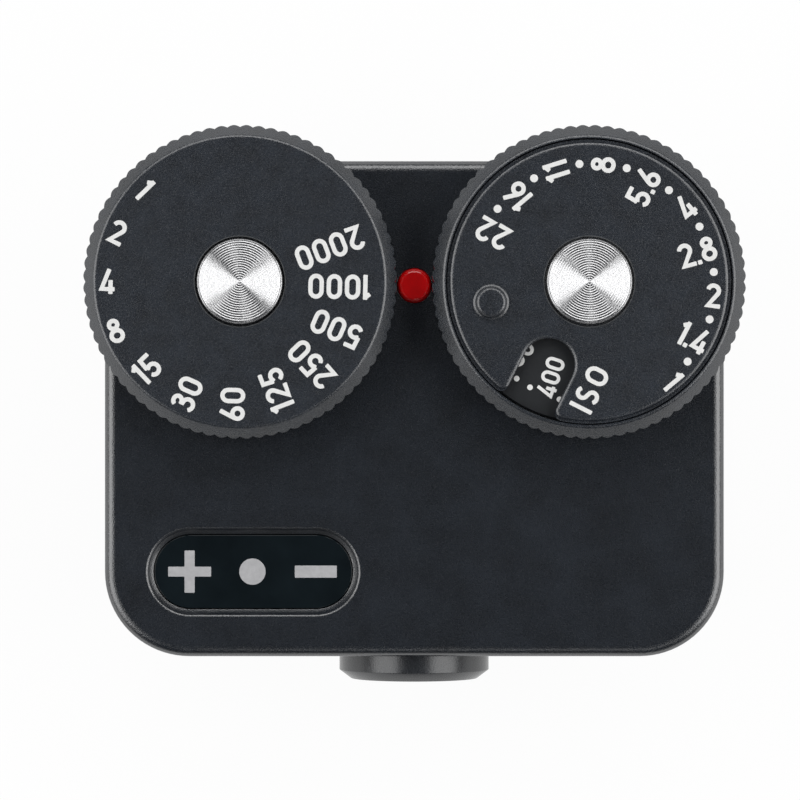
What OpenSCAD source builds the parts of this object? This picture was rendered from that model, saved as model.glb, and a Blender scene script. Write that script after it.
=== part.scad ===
// Shoe mount light meter: a small black box with two knurled dials on top,
// a display window, a light sensor at the front and a shoe foot below.
// +Z is up, the sensor looks along -Y and the user reads the dials from +Y.
// The origin is the centre of the foot's lower face.
// Cutters start 1 mm before the face they cut and end 1 mm behind it.

/* [Body] */
// Width of the body
body_w = 44; // [43.6:0.2:60]
// Depth of the body, front to rear
body_d = 35.2; // [34.8:0.2:50]
// Height of the body without its foot
body_h = 14.4; // [14.2:0.1:20]
// Radius of the four upright corners
corner_r = 6; // [5.2:0.1:7]
// Radius of the rounded top edge
top_edge_r = 0.7; // [0.3:0.05:1.2]
// Chamfer round the lower edge
low_edge = 0.3; // [0.1:0.05:0.6]
// Thickness of the side walls
wall = 1.6; // [1.4:0.05:1.7]
// Thickness of the top wall
top_wall = 1.6; // [1.4:0.05:1.8]
// Thickness of the base plate
base_t = 1.5; // [1.3:0.05:1.6]
// Width of the ledge that the base plate is let into
base_ledge = 0.8; // [0.5:0.05:1.0]

/* [Fits] */
// Clearance round pieces that are seated in each other
seat_gap = 0.02; // [0.01:0.01:0.04]
// Radial clearance of turning and sliding fits
run_gap = 0.04; // [0.02:0.01:0.08]
// Play between neighbours that don't touch
free_gap = 0.2; // [0.1:0.05:0.25]

/* [Shoe foot] */
// Width of the foot plate
foot_w = 18.6; // [18.2:0.1:18.7]
// Length of the foot plate
foot_l = 18; // [16:0.2:18.2]
// Thickness of the foot plate
foot_t = 2; // [1.6:0.1:2.1]
// Corner radius of the foot plate
foot_corner_r = 1; // [0.4:0.1:2]
// Chamfer round the foot plate
foot_edge = 0.25; // [0.1:0.05:0.4]
// Width of the neck between foot and body
neck_w = 12.3; // [11:0.1:12.4]
// Length of the neck
neck_l = 17; // [14:0.2:18]
// Height of the neck
neck_h = 1.7; // [1.5:0.1:2.5]
// How far the foot sits behind the body's middle
foot_back = 5.9; // [5.6:0.1:7]
// Spacing of the foot screws across
foot_screw_x = 7.6; // [6:0.1:8]
// Spacing of the foot screws along
foot_screw_y = 11; // [8:0.2:13]
// Radius of the foot screws' shank
foot_screw_r = 1; // [0.7:0.05:1.2]

/* [Dials] */
// Radius over the knurled crests
dial_r = 11; // [10.7:0.05:11.05]
// Spacing of the two dial axes
dial_spacing = 24.44; // [24.3:0.02:25]
// How far the dial axes sit behind the body's middle
dial_back = 8.9; // [8.5:0.1:9.1]
// Height of a dial
dial_h = 4.2; // [3.9:0.1:5]
// Gap under a dial
dial_lift = 0.3; // [0.2:0.05:0.5]
// Radius of a dial's flat top
dial_top_r = 10.28; // [10.2:0.02:10.4]
// Number of knurls round a dial
knurl_count = 76; // [60:2:90]
// Depth of the knurls
knurl_depth = 0.16; // [0.08:0.02:0.24]
// Chamfer under a dial
dial_low_edge = 0.35; // [0.2:0.05:0.5]
// Hollow under a dial, radius
cavity_r = 5.2; // [4.8:0.1:5.6]
// Thickness of a dial's floor over that hollow
floor_t = 1.25; // [1.1:0.05:1.4]
// Number of click stops in a full turn
stop_count = 16; // [8:1:24]
// Radius of the ring of click stops
stop_ring_r = 7; // [6.8:0.1:7.4]

/* [Centre caps] */
// Radius of the bright centre cap
cap_r = 2.98; // [2.8:0.02:3.05]
// Radius of the recess that holds the cap
cap_seat_r = 3.15; // [3.1:0.01:3.3]
// Height of the cap above the dial
cap_rise = 0.4; // [0.2:0.05:0.7]
// Chamfer round the cap
cap_edge = 0.15; // [0.05:0.05:0.25]

/* [Aperture dial] */
// Inner radius of the knurled ring
cup_r = 10.05; // [9.95:0.01:10.1]
// Radius of the numbered face
face_r = 9.65; // [9.3:0.05:9.8]
// Thickness of the numbered face
face_t = 0.8; // [0.7:0.05:0.9]
// Radius of the film speed disc
speed_r = 9.9; // [9.7:0.01:9.92]
// Space between face and film speed disc
speed_gap = 0.15; // [0.12:0.01:0.25]
// Direction of the film speed window, from +X
notch_angle = 242.4; // [200:0.1:280]
// Radius of the window's round inner end
notch_r = 1.75; // [1.4:0.05:2]
// Distance of that end's centre from the axis
notch_at = 6; // [5.9:0.1:6.5]
// Width of the window at the rim
notch_mouth = 4.2; // [3.6:0.1:5]
// Direction of the finger pin, from +X
finger_angle = 191.2; // [150:0.1:205]
// Distance of the finger pin from the axis
finger_at = 7.12; // [6.5:0.02:7.6]
// Radius of the finger pin at its foot
finger_r = 1.25; // [1:0.05:1.4]
// Radius of the finger pin's flat top
finger_top_r = 1.02; // [0.8:0.02:1.1]
// Height of the finger pin
finger_h = 0.6; // [0.3:0.05:0.8]
// Thickness of the face under its centre cap
face_seat = 0.35; // [0.25:0.05:0.45]
// Radius of the collar the face turns on
collar_r = 2.6; // [2.4:0.05:2.7]
// Thickness of the collar's flange
collar_flange_t = 0.15; // [0.1:0.01:0.2]
// Thickness of the collar's floor
collar_floor = 0.6; // [0.4:0.05:0.7]
// Length of the cap's spigot in the collar
cap_spigot = 0.3; // [0.2:0.05:0.4]
// Thickness of the friction washer
washer_t = 0.1; // [0.05:0.01:0.12]

/* [Shafts and bushes] */
// Radius of a dial shaft
shaft_r = 2; // [1.8:0.05:2.1]
// Radius of its stepped ends
step_r = 1.5; // [1.3:0.05:1.6]
// Depth of the driving flat on the ends
flat_depth = 0.35; // [0.2:0.05:0.5]
// Radius of the bush that carries the shaft
bush_r = 3; // [2.8:0.05:3.2]
// Radius of the bush's flange
bush_flange_r = 4.2; // [3.8:0.1:4.6]
// Thickness of that flange
bush_flange_t = 0.6; // [0.4:0.05:0.8]
// Width across the flats of the bush nut
nut_flats = 7.6; // [7:0.1:8]
// Thickness of the bush nut
nut_t = 0.9; // [0.7:0.05:1]
// Room over the bush nut
nut_room = 0.35; // [0.25:0.05:0.5]
// Thickness of the shaft's clip
clip_t = 0.4; // [0.3:0.05:0.5]
// Radius of the clip
clip_r = 3.2; // [2.8:0.1:3.6]
// Radius of the dial screw's shank
dial_screw_r = 0.8; // [0.6:0.05:0.9]
// Radius of the dial screw's head
dial_head_r = 1.9; // [1.6:0.05:1.95]
// Height of the dial screw's head
dial_head_h = 0.8; // [0.6:0.05:0.85]
// Length of thread in the shaft
dial_screw_grip = 3; // [2:0.25:3.5]
// Width of the slot in the dial screw's head
screw_slot_w = 0.4; // [0.3:0.05:0.6]
// Depth of that slot
screw_slot_depth = 0.4; // [0.2:0.05:0.5]

/* [Click stops] */
// Radius of a detent ball
ball_r = 0.6; // [0.5:0.02:0.62]
// How far a ball stands into the dial
ball_rise = 0.22; // [0.15:0.01:0.24]
// Depth of the groove the ball runs in
groove_depth = 0.25; // [0.24:0.01:0.35]
// Width of that groove
groove_w = 1.2; // [1.1:0.05:1.4]
// Radius of a click dimple
dimple_r = 0.4; // [0.3:0.02:0.5]
// Extra depth of a click dimple
dimple_depth = 0.2; // [0.1:0.02:0.3]
// Depth of the hole that holds ball and spring
ball_hole_depth = 3.7; // [3.2:0.1:4]
// Radius of the boss round that hole
ball_boss_r = 1.5; // [1.2:0.05:1.6]
// Floor under that hole
ball_boss_floor = 0.5; // [0.4:0.1:0.8]
// Radius of a detent spring, to the wire's middle
detent_coil_r = 0.42; // [0.36:0.01:0.48]
// Radius of a detent spring's wire
detent_wire_r = 0.1; // [0.06:0.01:0.12]
// Number of turns in a detent spring
detent_turns = 5; // [4:1:6]

/* [Rotary pick-ups] */
// Radius of the wiper disc
wiper_r = 4.8; // [4.6:0.1:5]
// Thickness of the wiper disc
wiper_t = 0.8; // [0.6:0.1:1]
// Radius of the wiper's hub
wiper_hub_r = 2.6; // [2.4:0.1:2.8]
// Height of the wiper's hub over the disc's lower face
wiper_hub_h = 3.1; // [2.6:0.1:3.4]
// Height of the wiper disc over the board
wiper_lift = 0.5; // [0.4:0.05:0.7]
// Thickness of the brush
brush_t = 0.15; // [0.1:0.01:0.2]
// Width of the brush's arm
brush_arm_w = 1; // [0.6:0.1:1.4]
// Radius of the brush's two contact tips
brush_tip_r = 0.25; // [0.15:0.05:0.3]
// Radius of the outer contact track
track_r = 4.1; // [3.9:0.05:4.2]
// Radius of the inner contact track
track_inner_r = 2.9; // [2.8:0.05:3]
// Width of a contact track
track_w = 0.7; // [0.5:0.05:0.8]
// Thickness of a contact track
track_t = 0.05; // [0.03:0.01:0.06]

/* [Index mark] */
// Radius of the red index jewel
jewel_r = 1.22; // [1:0.02:1.24]
// Radius of its flat top
jewel_top_r = 0.83; // [0.6:0.01:0.95]
// Height of its bevel over the body
jewel_rise = 0.38; // [0.2:0.02:0.5]
// Depth of its seat
jewel_depth = 1.2; // [0.8:0.1:1.3]
// How far it sits behind the body's middle
jewel_back = 8.73; // [8.4:0.01:9.1]

/* [Display window] */
// Length of the window glass
window_l = 14.1; // [13.6:0.1:14.4]
// Width of the window glass
window_w = 5.37; // [5:0.01:5.6]
// Width of the bevel round the glass
window_bevel = 0.5; // [0.3:0.05:0.6]
// Depth of the glass under the top face
window_depth = 0.4; // [0.2:0.05:0.5]
// Thickness of the glass's flange
window_flange_t = 0.6; // [0.4:0.05:0.7]
// Width of the glass's flange beyond the glass
window_flange_w = 0.75; // [0.5:0.05:0.8]
// Distance of the window's middle from the left face
window_from_left = 10.56; // [10.4:0.01:10.7]
// Distance of the window's middle from the front face
window_from_front = 6.03; // [5.8:0.01:6.3]
// Spacing of the three symbols
symbol_step = 4.5; // [4.2:0.02:4.6]
// Length of the plus and minus
symbol_l = 3.02; // [2.6:0.02:3.2]
// Thickness of their strokes
symbol_stroke = 0.75; // [0.5:0.05:1]
// Radius of the dot
symbol_dot_r = 0.93; // [0.7:0.01:1.1]
// Depth of the symbols in the glass
symbol_depth = 0.15; // [0.1:0.01:0.3]
// Length of a lamp
lamp_l = 1.6; // [1.2:0.1:2]
// Width of a lamp
lamp_w = 0.8; // [0.6:0.1:1.2]
// Height of a lamp
lamp_h = 0.6; // [0.4:0.1:0.8]
// Length of the light guide block
guide_l = 13; // [12.6:0.1:13.4]
// Width of the light guide block
guide_w = 4.4; // [4:0.1:4.8]
// Radius of a light well
well_r = 1.5; // [1.2:0.05:1.7]

/* [Light sensor] */
// Outer radius of the sensor's bezel
bezel_r = 5.4; // [5:0.05:5.6]
// How far the bezel stands out
bezel_out = 1.9; // [1.6:0.05:2.4]
// Length of its front chamfer
bezel_chamfer_l = 0.6; // [0.3:0.05:0.9]
// Depth of its front chamfer
bezel_chamfer_r = 0.8; // [0.4:0.05:1]
// Depth of the sensor's axis under the top face
sensor_drop = 6.7; // [6.6:0.05:7]
// Radius of the threaded barrel
barrel_r = 3.7; // [3.6:0.05:3.75]
// Bore of the barrel behind the stop
barrel_bore_r = 3.2; // [3.1:0.02:3.25]
// Length of the barrel behind the front wall
barrel_back = 1.2; // [1.1:0.1:1.4]
// Radius of the sensor lens
lens_r = 3.05; // [2.8:0.05:3.1]
// Thickness of the lens at its edge
lens_t = 0.9; // [0.7:0.05:1]
// Height of the lens's dome
lens_dome = 0.45; // [0.2:0.05:0.6]
// Depth of the lens's edge behind the bezel's front
lens_back = 1; // [0.8:0.05:1]
// Radius of the stop behind the lens
stop_r = 2.6; // [2:0.05:2.7]
// Thickness of that stop
stop_t = 0.7; // [0.5:0.05:0.8]
// Mouth of the cone in front of the lens
cone_r = 4; // [3.6:0.05:4.2]
// Straight lip in front of that cone
cone_lip = 0.2; // [0.1:0.05:0.4]
// Thickness of the colour filter
filter_t = 0.8; // [0.5:0.05:0.9]
// Outer radius of the barrel's nut
ring_nut_r = 4.4; // [4.3:0.02:4.45]
// Thickness of the barrel's nut
ring_nut_t = 1; // [0.8:0.05:1.05]
// Width of the photodiode
diode_w = 3.2; // [2.6:0.1:3.6]
// Thickness of the photodiode
diode_t = 1; // [0.8:0.05:1.1]
// Width of the sensor's small board
sensor_board_w = 8; // [7.6:0.1:8.2]
// Thickness of the sensor's small board
sensor_board_t = 0.8; // [0.6:0.05:0.9]
// Width of the ribbon between the boards
ribbon_w = 3; // [2:0.2:4]
// Thickness of the ribbon
ribbon_t = 0.15; // [0.1:0.01:0.2]
// Length of ribbon on the main board
ribbon_lap = 2; // [1:0.2:3]

/* [Main board] */
// Thickness of the main board
board_t = 1; // [0.8:0.1:1.2]
// Height of the main board over the base plate
board_rise = 2.8; // [2.6:0.1:3.2]
// Gap between board and side walls
board_side_gap = 0.4; // [0.3:0.05:0.6]
// Gap between board and rear wall
board_rear_gap = 1.5; // [1.4:0.05:1.8]
// Gap between the two boards
board_front_gap = 1; // [0.8:0.1:1.4]
// How far the board reaches beyond the light guide
board_guide_lap = 1.4; // [1:0.1:1.8]
// Radius of a board post
post_r = 1.4; // [1.2:0.05:1.6]
// Distance of the left post from the board's edge
left_post_inset = 1.4; // [1.3:0.05:1.6]
// Distance of the right post from the board's edge
right_post_inset = 1.6; // [1.4:0.05:1.8]
// How far the left post sits before the body's middle
left_post_front = 0.5; // [0.2:0.1:1]
// How far the middle post sits before the body's middle
middle_post_front = 0.1; // [0:0.1:0.4]
// How far the right post sits behind the body's middle
right_post_back = 1.3; // [1:0.1:1.5]
// Radius of a board screw's shank
board_screw_r = 0.6; // [0.5:0.05:0.7]
// Radius of a board screw's head
board_head_r = 1.1; // [1:0.05:1.3]
// Height of a board screw's head
board_head_h = 0.6; // [0.5:0.05:0.8]
// Length of a board screw's thread
board_screw_l = 3; // [2:0.25:4]

/* [Screw columns] */
// Radius of a rear column
column_r = 1.7; // [1.5:0.05:1.8]
// Distance of the rear columns' axes from the outer faces
column_inset = 3.6; // [3.3:0.05:3.8]
// Radius of a front column
slim_column_r = 1.4; // [1.3:0.05:1.45]
// How far the front columns are sunk into their wall
column_sink = 0.3; // [0.2:0.05:0.4]
// Distance of the left column's axis from the window glass's flange
side_column_back = 2.1; // [1.8:0.1:2.6]
// Distance of the front column's axis from the middle
front_column_x = 5.9; // [5.8:0.05:6]
// Radius of a base screw's shank
base_screw_r = 0.8; // [0.6:0.05:0.85]
// Radius of a base screw's head
base_head_r = 1.5; // [1.3:0.05:1.6]
// Length of a base screw
base_screw_l = 4.5; // [3.5:0.25:6]
// Depth of a cross recess
recess_depth = 0.35; // [0.2:0.05:0.45]
// Length of a cross recess for each mm of head radius
recess_l_ratio = 1.2; // [1:0.05:1.4]
// Width of a cross recess for each mm of head radius
recess_w_ratio = 0.24; // [0.2:0.01:0.3]

/* [Battery] */
// Radius of a button cell
cell_r = 5.8; // [5.7:0.05:5.8]
// Height of a button cell
cell_h = 5.4; // [5:0.05:5.45]
// Number of cells in the stack
cell_count = 2; // [1:1:2]
// Radius of a cell's raised pole
cell_pole_r = 4.6; // [4:0.1:5]
// Height of that pole
cell_pole_h = 0.3; // [0.1:0.05:0.5]
// Play round the cells
cell_gap = 0.2; // [0.1:0.02:0.25]
// Play between the cell holder and the board
holder_room = 0.35; // [0.25:0.05:0.5]
// Wall of the cell holder
holder_wall = 0.8; // [0.7:0.02:0.85]
// Radius of the threaded cap
cell_cap_r = 6.5; // [6.45:0.01:6.52]
// Thickness of the cap
cell_cap_t = 1.3; // [1.2:0.05:1.3]
// Length of the coin slot
coin_slot_l = 9; // [6:0.5:11]
// Width of the coin slot
coin_slot_w = 1.4; // [1:0.1:2]
// Depth of the coin slot
coin_slot_depth = 0.7; // [0.4:0.05:0.8]
// Thickness of the contact in the cap
cap_contact_t = 0.15; // [0.1:0.01:0.15]
// Radius of the contact in the cap
cap_contact_r = 4; // [3:0.1:5]
// Thickness of the upper contact
top_contact_t = 0.25; // [0.15:0.01:0.3]
// Room over the upper contact
contact_room = 0.25; // [0.1:0.01:0.27]
// Radius of the upper contact
top_contact_r = 5; // [4:0.1:5.4]
// Width of the upper contact's leg
leg_w = 2; // [1.5:0.1:3]
// Length of the leg's foot on the board
leg_foot = 1; // [0.6:0.1:1.4]
// Thickness of the cap's seal
seal_t = 0.2; // [0.15:0.01:0.3]
// Width of the cap's seal
seal_w = 0.4; // [0.3:0.02:0.42]
// How far the seal stays inside the cap's edge
seal_inset = 0.05; // [0.03:0.01:0.1]

/* [Measure button] */
// Radius of the button's head
button_r = 3; // [2.5:0.05:3.2]
// Width of the flange that keeps it in
button_flange_w = 0.8; // [0.5:0.05:1]
// Thickness of that flange
button_flange_t = 0.6; // [0.4:0.05:0.7]
// Chamfer round the button's head
button_edge = 0.25; // [0.1:0.05:0.4]
// Height of the button's axis over the main board
button_rise = 2; // [1.8:0.05:2.2]
// Radius of the button's stem
stem_r = 1; // [0.8:0.05:1.1]
// Length of the button's stem
stem_l = 1.3; // [1.2:0.05:1.6]
// Length of the switch plunger
plunger_l = 1.3; // [1.2:0.05:1.5]
// Radius of the switch plunger
plunger_r = 0.8; // [0.6:0.05:0.9]
// How far the plunger stands out of the switch
plunger_out = 1; // [0.9:0.05:1.1]
// Width of the switch
switch_w = 5.2; // [4.6:0.1:6]
// Depth of the switch
switch_d = 2.2; // [2:0.1:2.6]
// Height of the switch
switch_h = 3.8; // [3.6:0.1:4.2]
// Radius of the return spring, to the wire's middle
coil_r = 1.4; // [1.3:0.05:1.6]
// Radius of the return spring's wire
coil_wire_r = 0.12; // [0.08:0.01:0.16]
// Number of turns in the return spring
coil_turns = 4; // [3:1:6]

/* [Hidden] */
$fn = 96;

// Heights
floor_z = foot_t + neck_h;
base_top = floor_z + base_t;
top_z = floor_z + body_h;
ceiling_z = top_z - top_wall;
board_z = base_top + board_rise;
board_top = board_z + board_t;
dial_z = top_z + dial_lift;
dial_top_z = dial_z + dial_h;
cavity_z = top_z + nut_t + nut_room;
cup_z = cavity_z + floor_t;
cap_top_z = dial_top_z + cap_rise;
ball_z = dial_z + ball_rise - ball_r;
bush_z = ceiling_z - bush_flange_t;
clip_z = bush_z - clip_t - run_gap;
glass_top = top_z - window_depth;
flange_z = ceiling_z - window_flange_t;
sensor_z = top_z - sensor_drop;
button_z = board_top + button_rise;

// Places in plan
body_y = -foot_back;
front_y = body_y - body_d / 2;
rear_y = body_y + body_d / 2;
pocket_w = body_w - 2 * wall;
pocket_d = body_d - 2 * wall;
pocket_r = corner_r - wall;
dial_x = dial_spacing / 2;
dial_y = body_y + dial_back;
jewel_y = body_y + jewel_back;
window_x = window_from_left - body_w / 2;
window_y = front_y + window_from_front;

// Aperture dial
face_z = dial_top_z - face_t;
speed_top = face_z - speed_gap;
collar_flange_z = face_z + face_seat + run_gap;
collar_bore_r = dial_head_r + run_gap;
washer_r = notch_at - notch_r - free_gap;

// Rotary pick-ups
wiper_z = board_top + wiper_lift;
shoulder_z = wiper_z + wiper_hub_h;
shaft_end_z = board_z - free_gap;
brush_foot = wiper_lift - track_t - brush_t - run_gap;

// Light sensor, measured back from the bezel's front
bezel_y = front_y - bezel_out;
barrel_l = bezel_out + wall + barrel_back;
stop_back = lens_back + lens_t;
filter_back = stop_back + stop_t;
sensor_board_y = bezel_y + barrel_l;

// Main board
board_x = pocket_w / 2 - board_side_gap;
board_rear = rear_y - wall - board_rear_gap;
board_front = sensor_board_y + sensor_board_t + board_front_gap;
board_left_front = window_y - guide_w / 2 - board_guide_lap;
posts = [
  [-board_x + left_post_inset, body_y - left_post_front],
  [board_x - right_post_inset, body_y + right_post_back],
  [0, body_y - middle_post_front]
];
// Chips: left edge and front edge from the body's middle, then width, depth and height
chips = [
  [-2, -5.6, 4, 4, 0.9],
  [-6.2, -1.4, 3, 3, 0.8],
  [3.4, -1.4, 2, 1.2, 0.8],
  [3.4, 0.6, 2, 1.2, 0.8],
  [-4.4, -4.8, 0.8, 1.6, 0.5],
  [2.8, -4.8, 0.8, 1.6, 0.5]
];

// Battery
holder_r = cell_r + cell_gap + holder_wall;
leg_x = holder_r + seat_gap;
cell_x = pocket_w / 2 - holder_r - free_gap;
cell_y = front_y + wall + holder_r + free_gap;
cap_in_z = floor_z + cell_cap_t;
cells_z = cap_in_z + cap_contact_t;
cells_top = cells_z + cell_count * cell_h + (cell_count - 1) * seat_gap;
contact_top = cells_top + top_contact_t;
cap_bore_r = cell_cap_r + run_gap;
seal_r = cell_cap_r - seal_inset;
board_notch_r = holder_r + holder_room;

// Screw columns: rear left, rear right, left wall, front wall
columns = [
  [-(body_w / 2 - column_inset), rear_y - column_inset, column_r],
  [body_w / 2 - column_inset, rear_y - column_inset, column_r],
  [-(pocket_w / 2 - slim_column_r + column_sink),
    window_y + window_w / 2 + window_flange_w + side_column_back, slim_column_r],
  [front_column_x, front_y + wall + slim_column_r - column_sink, slim_column_r]
];

// Measure button, measured along Y
flange_y = rear_y - wall;
stem_y = flange_y - button_flange_t;
stem_end = stem_y - stem_l;
switch_y = stem_end - plunger_out;

foot_screws_at = [
  for (sx = [-0.5, 0.5], sy = [-0.5, 0.5]) [sx * foot_screw_x, sy * foot_screw_y]
];
symbols_x = [for (i = [-1, 0, 1]) window_x + i * symbol_step];

// Outlines
module rounded_outline(w, d, r) {
  square([w - 2 * r, d], center = true);
  square([w, d - 2 * r], center = true);
  for (sx = [-1, 1], sy = [-1, 1])
    translate([sx * (w / 2 - r), sy * (d / 2 - r)]) circle(r);
}

module slot_outline(l, w) {
  square([l - w, w], center = true);
  for (s = [-1, 1]) translate([s * (l - w) / 2, 0]) circle(w / 2);
}

module d_outline(r, flat) {
  intersection() {
    circle(r);
    translate([-r, -r]) square([2 * r - flat, 2 * r]);
  }
}

// Half the section of a block whose top edge is rounded and whose lower edge is chamfered
module edge_section(r, h, top, low) {
  polygon([[0, 0], [r - low, 0], [r, low], [r, h - top], [0, h - top]]);
  square([r - top, h]);
  translate([r - top, h - top]) circle(top);
}

module soft_block(w, d, h, r, top, low) {
  for (s = [0, 1]) {
    rotate(180 * s) translate([w / 2 - r, d / 2 - r, 0])
      rotate_extrude(angle = 90) edge_section(r, h, top, low);
    rotate(180 * s) translate([-(w / 2 - r), d / 2 - r, 0])
      rotate([0, 0, 90]) rotate_extrude(angle = 90) edge_section(r, h, top, low);
    rotate(180 * s) translate([w / 2 - r, -(d / 2 - r), 0])
      rotate([90, 0, 180]) linear_extrude(d - 2 * r) mirror([1, 0]) edge_section(r, h, top, low);
    rotate(180 * s) translate([-(w / 2 - r), d / 2 - r, 0])
      rotate([90, 0, 90]) linear_extrude(w - 2 * r) edge_section(r, h, top, low);
  }
  translate([-(w / 2 - r), -(d / 2 - r), 0]) cube([w - 2 * r, d - 2 * r, h]);
}

// A slot-shaped cutter that widens upwards by bevel on every side
module slot_bevel(l, w, bevel) {
  for (s = [-1, 1])
    translate([s * (l - w) / 2, 0, 0]) cylinder(h = bevel, r1 = w / 2, r2 = w / 2 + bevel);
  rotate([90, 0, 90]) translate([0, 0, -(l - w) / 2])
    linear_extrude(l - w)
      polygon([[-w / 2, 0], [w / 2, 0], [w / 2 + bevel, bevel], [-w / 2 - bevel, bevel]]);
}

module ring(outer, inner, h) {
  difference() {
    cylinder(h = h, r = outer);
    translate([0, 0, -1]) cylinder(h = h + 2, r = inner);
  }
}

// A countersunk screw that stands on its head, its flat face at the origin
module flat_screw(head_r, shank_r, l) {
  cylinder(h = head_r - shank_r, r1 = head_r, r2 = shank_r);
  cylinder(h = l, r = shank_r);
}

module flat_screw_hole(head_r, shank_r, l) {
  translate([0, 0, -1]) cylinder(h = l + 1, r = shank_r + seat_gap);
  translate([0, 0, -seat_gap])
    cylinder(h = head_r - shank_r + seat_gap, r1 = head_r + 2 * seat_gap, r2 = shank_r + seat_gap);
}

// One wire wound round +Z as a single open tube
module coil(radius, wire, length, turns) {
  sides = 6;
  steps_a_turn = 14;
  steps = steps_a_turn * turns;
  rise = length - 2 * wire;
  path = [for (i = [0 : steps]) let (a = 360 * turns * i / steps)
    [radius * cos(a), radius * sin(a), wire + rise * i / steps, a]];
  points = [for (p = path, j = [0 : sides - 1]) let (b = 360 * j / sides)
    [p[0] + wire * cos(b) * cos(p[3]), p[1] + wire * cos(b) * sin(p[3]), p[2] + wire * sin(b)]];
  sides_faces = [for (i = [0 : steps - 1], j = [0 : sides - 1]) let (k = (j + 1) % sides)
    each [[i * sides + j, (i + 1) * sides + j, (i + 1) * sides + k],
          [i * sides + j, (i + 1) * sides + k, i * sides + k]]];
  first = [for (j = [1 : sides - 2]) [0, j, j + 1]];
  last = [for (j = [1 : sides - 2]) [steps * sides, steps * sides + j + 1, steps * sides + j]];
  polyhedron(points = points, faces = concat(sides_faces, first, last));
}

module at_dial(side) {
  translate([side * dial_x, dial_y, 0]) children();
}

// Body: the cells' well and the contact's slot are cut as high as the cells need
module housing() {
  color("#2b2d30")
  difference() {
    union() {
      difference() {
        translate([0, body_y, floor_z])
          soft_block(body_w, body_d, body_h, corner_r, top_edge_r, low_edge);
        translate([0, body_y, floor_z - 1]) linear_extrude(body_h - top_wall + 1)
          rounded_outline(pocket_w, pocket_d, pocket_r);
        translate([0, body_y, floor_z - 1]) linear_extrude(base_t + 1)
          rounded_outline(pocket_w + 2 * base_ledge, pocket_d + 2 * base_ledge, pocket_r + base_ledge);
      }
      for (c = columns)
        translate([c[0], c[1], base_top]) cylinder(h = ceiling_z - base_top + top_wall / 2, r = c[2]);
      for (p = posts)
        translate([p[0], p[1], board_top])
          cylinder(h = ceiling_z - board_top + top_wall / 2, r = post_r);
      for (s = [-1, 1]) at_dial(s)
        translate([-s * stop_ring_r, 0, top_z - ball_hole_depth - ball_boss_floor])
          cylinder(h = ball_hole_depth + ball_boss_floor - top_wall / 2, r = ball_boss_r);
    }
    for (c = columns) translate([c[0], c[1], base_top - 1])
      cylinder(h = base_screw_l - base_t + free_gap + 1, r = base_screw_r + seat_gap);
    for (p = posts) translate([p[0], p[1], board_top - 1])
      cylinder(h = board_screw_l + 1, r = board_screw_r + seat_gap);
    for (s = [-1, 1]) at_dial(s) {
      translate([0, 0, ceiling_z - 1]) cylinder(h = top_wall + 2, r = bush_r + seat_gap);
      translate([-s * stop_ring_r, 0, top_z - ball_hole_depth])
        cylinder(h = ball_hole_depth + 1, r = ball_r + run_gap);
    }
    translate([0, jewel_y, top_z - jewel_depth])
      cylinder(h = jewel_depth + 1, r = jewel_r + seat_gap);
    translate([window_x, window_y, ceiling_z - 1])
      linear_extrude(top_wall + 2) slot_outline(window_l, window_w);
    translate([window_x, window_y, top_z - window_bevel])
      slot_bevel(window_l, window_w, window_bevel);
    translate([cell_x, cell_y, base_top])
      cylinder(h = contact_top + contact_room - base_top, r = cell_r + cell_gap);
    translate([cell_x - leg_x - top_contact_t - seat_gap, cell_y - leg_w / 2 - seat_gap, board_top])
      cube([leg_x, leg_w + 2 * seat_gap, contact_top + contact_room - board_top]);
    translate([0, front_y + wall + 1, sensor_z]) rotate([90, 0, 0])
      cylinder(h = wall + 2, r = barrel_r + seat_gap);
    translate([0, rear_y + 1, button_z]) rotate([90, 0, 0])
      cylinder(h = wall + 2, r = button_r + run_gap);
  }
}

module base_plate() {
  color("#26282b")
  difference() {
    translate([0, body_y, floor_z]) linear_extrude(base_t)
      rounded_outline(pocket_w + 2 * (base_ledge - seat_gap), pocket_d + 2 * (base_ledge - seat_gap),
        pocket_r + base_ledge - seat_gap);
    for (c = columns)
      translate([c[0], c[1], floor_z]) flat_screw_hole(base_head_r, base_screw_r, base_t + 1);
    for (p = foot_screws_at)
      translate([p[0], p[1], floor_z - 1]) cylinder(h = base_t + 2, r = foot_screw_r + seat_gap);
    translate([cell_x, cell_y, floor_z - 1]) cylinder(h = base_t + 2, r = cap_bore_r);
  }
}

module base_screws() {
  color("#55585c")
  for (c = columns) translate([c[0], c[1], floor_z]) difference() {
    flat_screw(base_head_r, base_screw_r, base_screw_l);
    cross_recess(base_head_r);
  }
}

module cross_recess(head_r) {
  for (a = [0, 90]) rotate(a)
    translate([-head_r * recess_l_ratio / 2, -head_r * recess_w_ratio / 2, -1])
      cube([head_r * recess_l_ratio, head_r * recess_w_ratio, recess_depth + 1]);
}

// Shoe foot
module shoe_foot_plate() {
  color("#b9bcbf")
  difference() {
    foot_blank();
    for (p = foot_screws_at)
      translate([p[0], p[1], 0]) flat_screw_hole(foot_screw_r * 2, foot_screw_r, foot_t + 1);
  }
}

module foot_blank() {
  translate([0, 0, foot_edge]) linear_extrude(foot_t - 2 * foot_edge)
    rounded_outline(foot_w, foot_l, foot_corner_r);
  linear_extrude(foot_t)
    rounded_outline(foot_w - 2 * foot_edge, foot_l - 2 * foot_edge, foot_corner_r - foot_edge);
}

module shoe_foot_neck() {
  color("#b9bcbf")
  difference() {
    translate([0, 0, foot_t]) linear_extrude(neck_h) rounded_outline(neck_w, neck_l, foot_corner_r);
    for (p = foot_screws_at)
      translate([p[0], p[1], foot_t - 1]) cylinder(h = neck_h + 2, r = foot_screw_r + seat_gap);
  }
}

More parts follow.
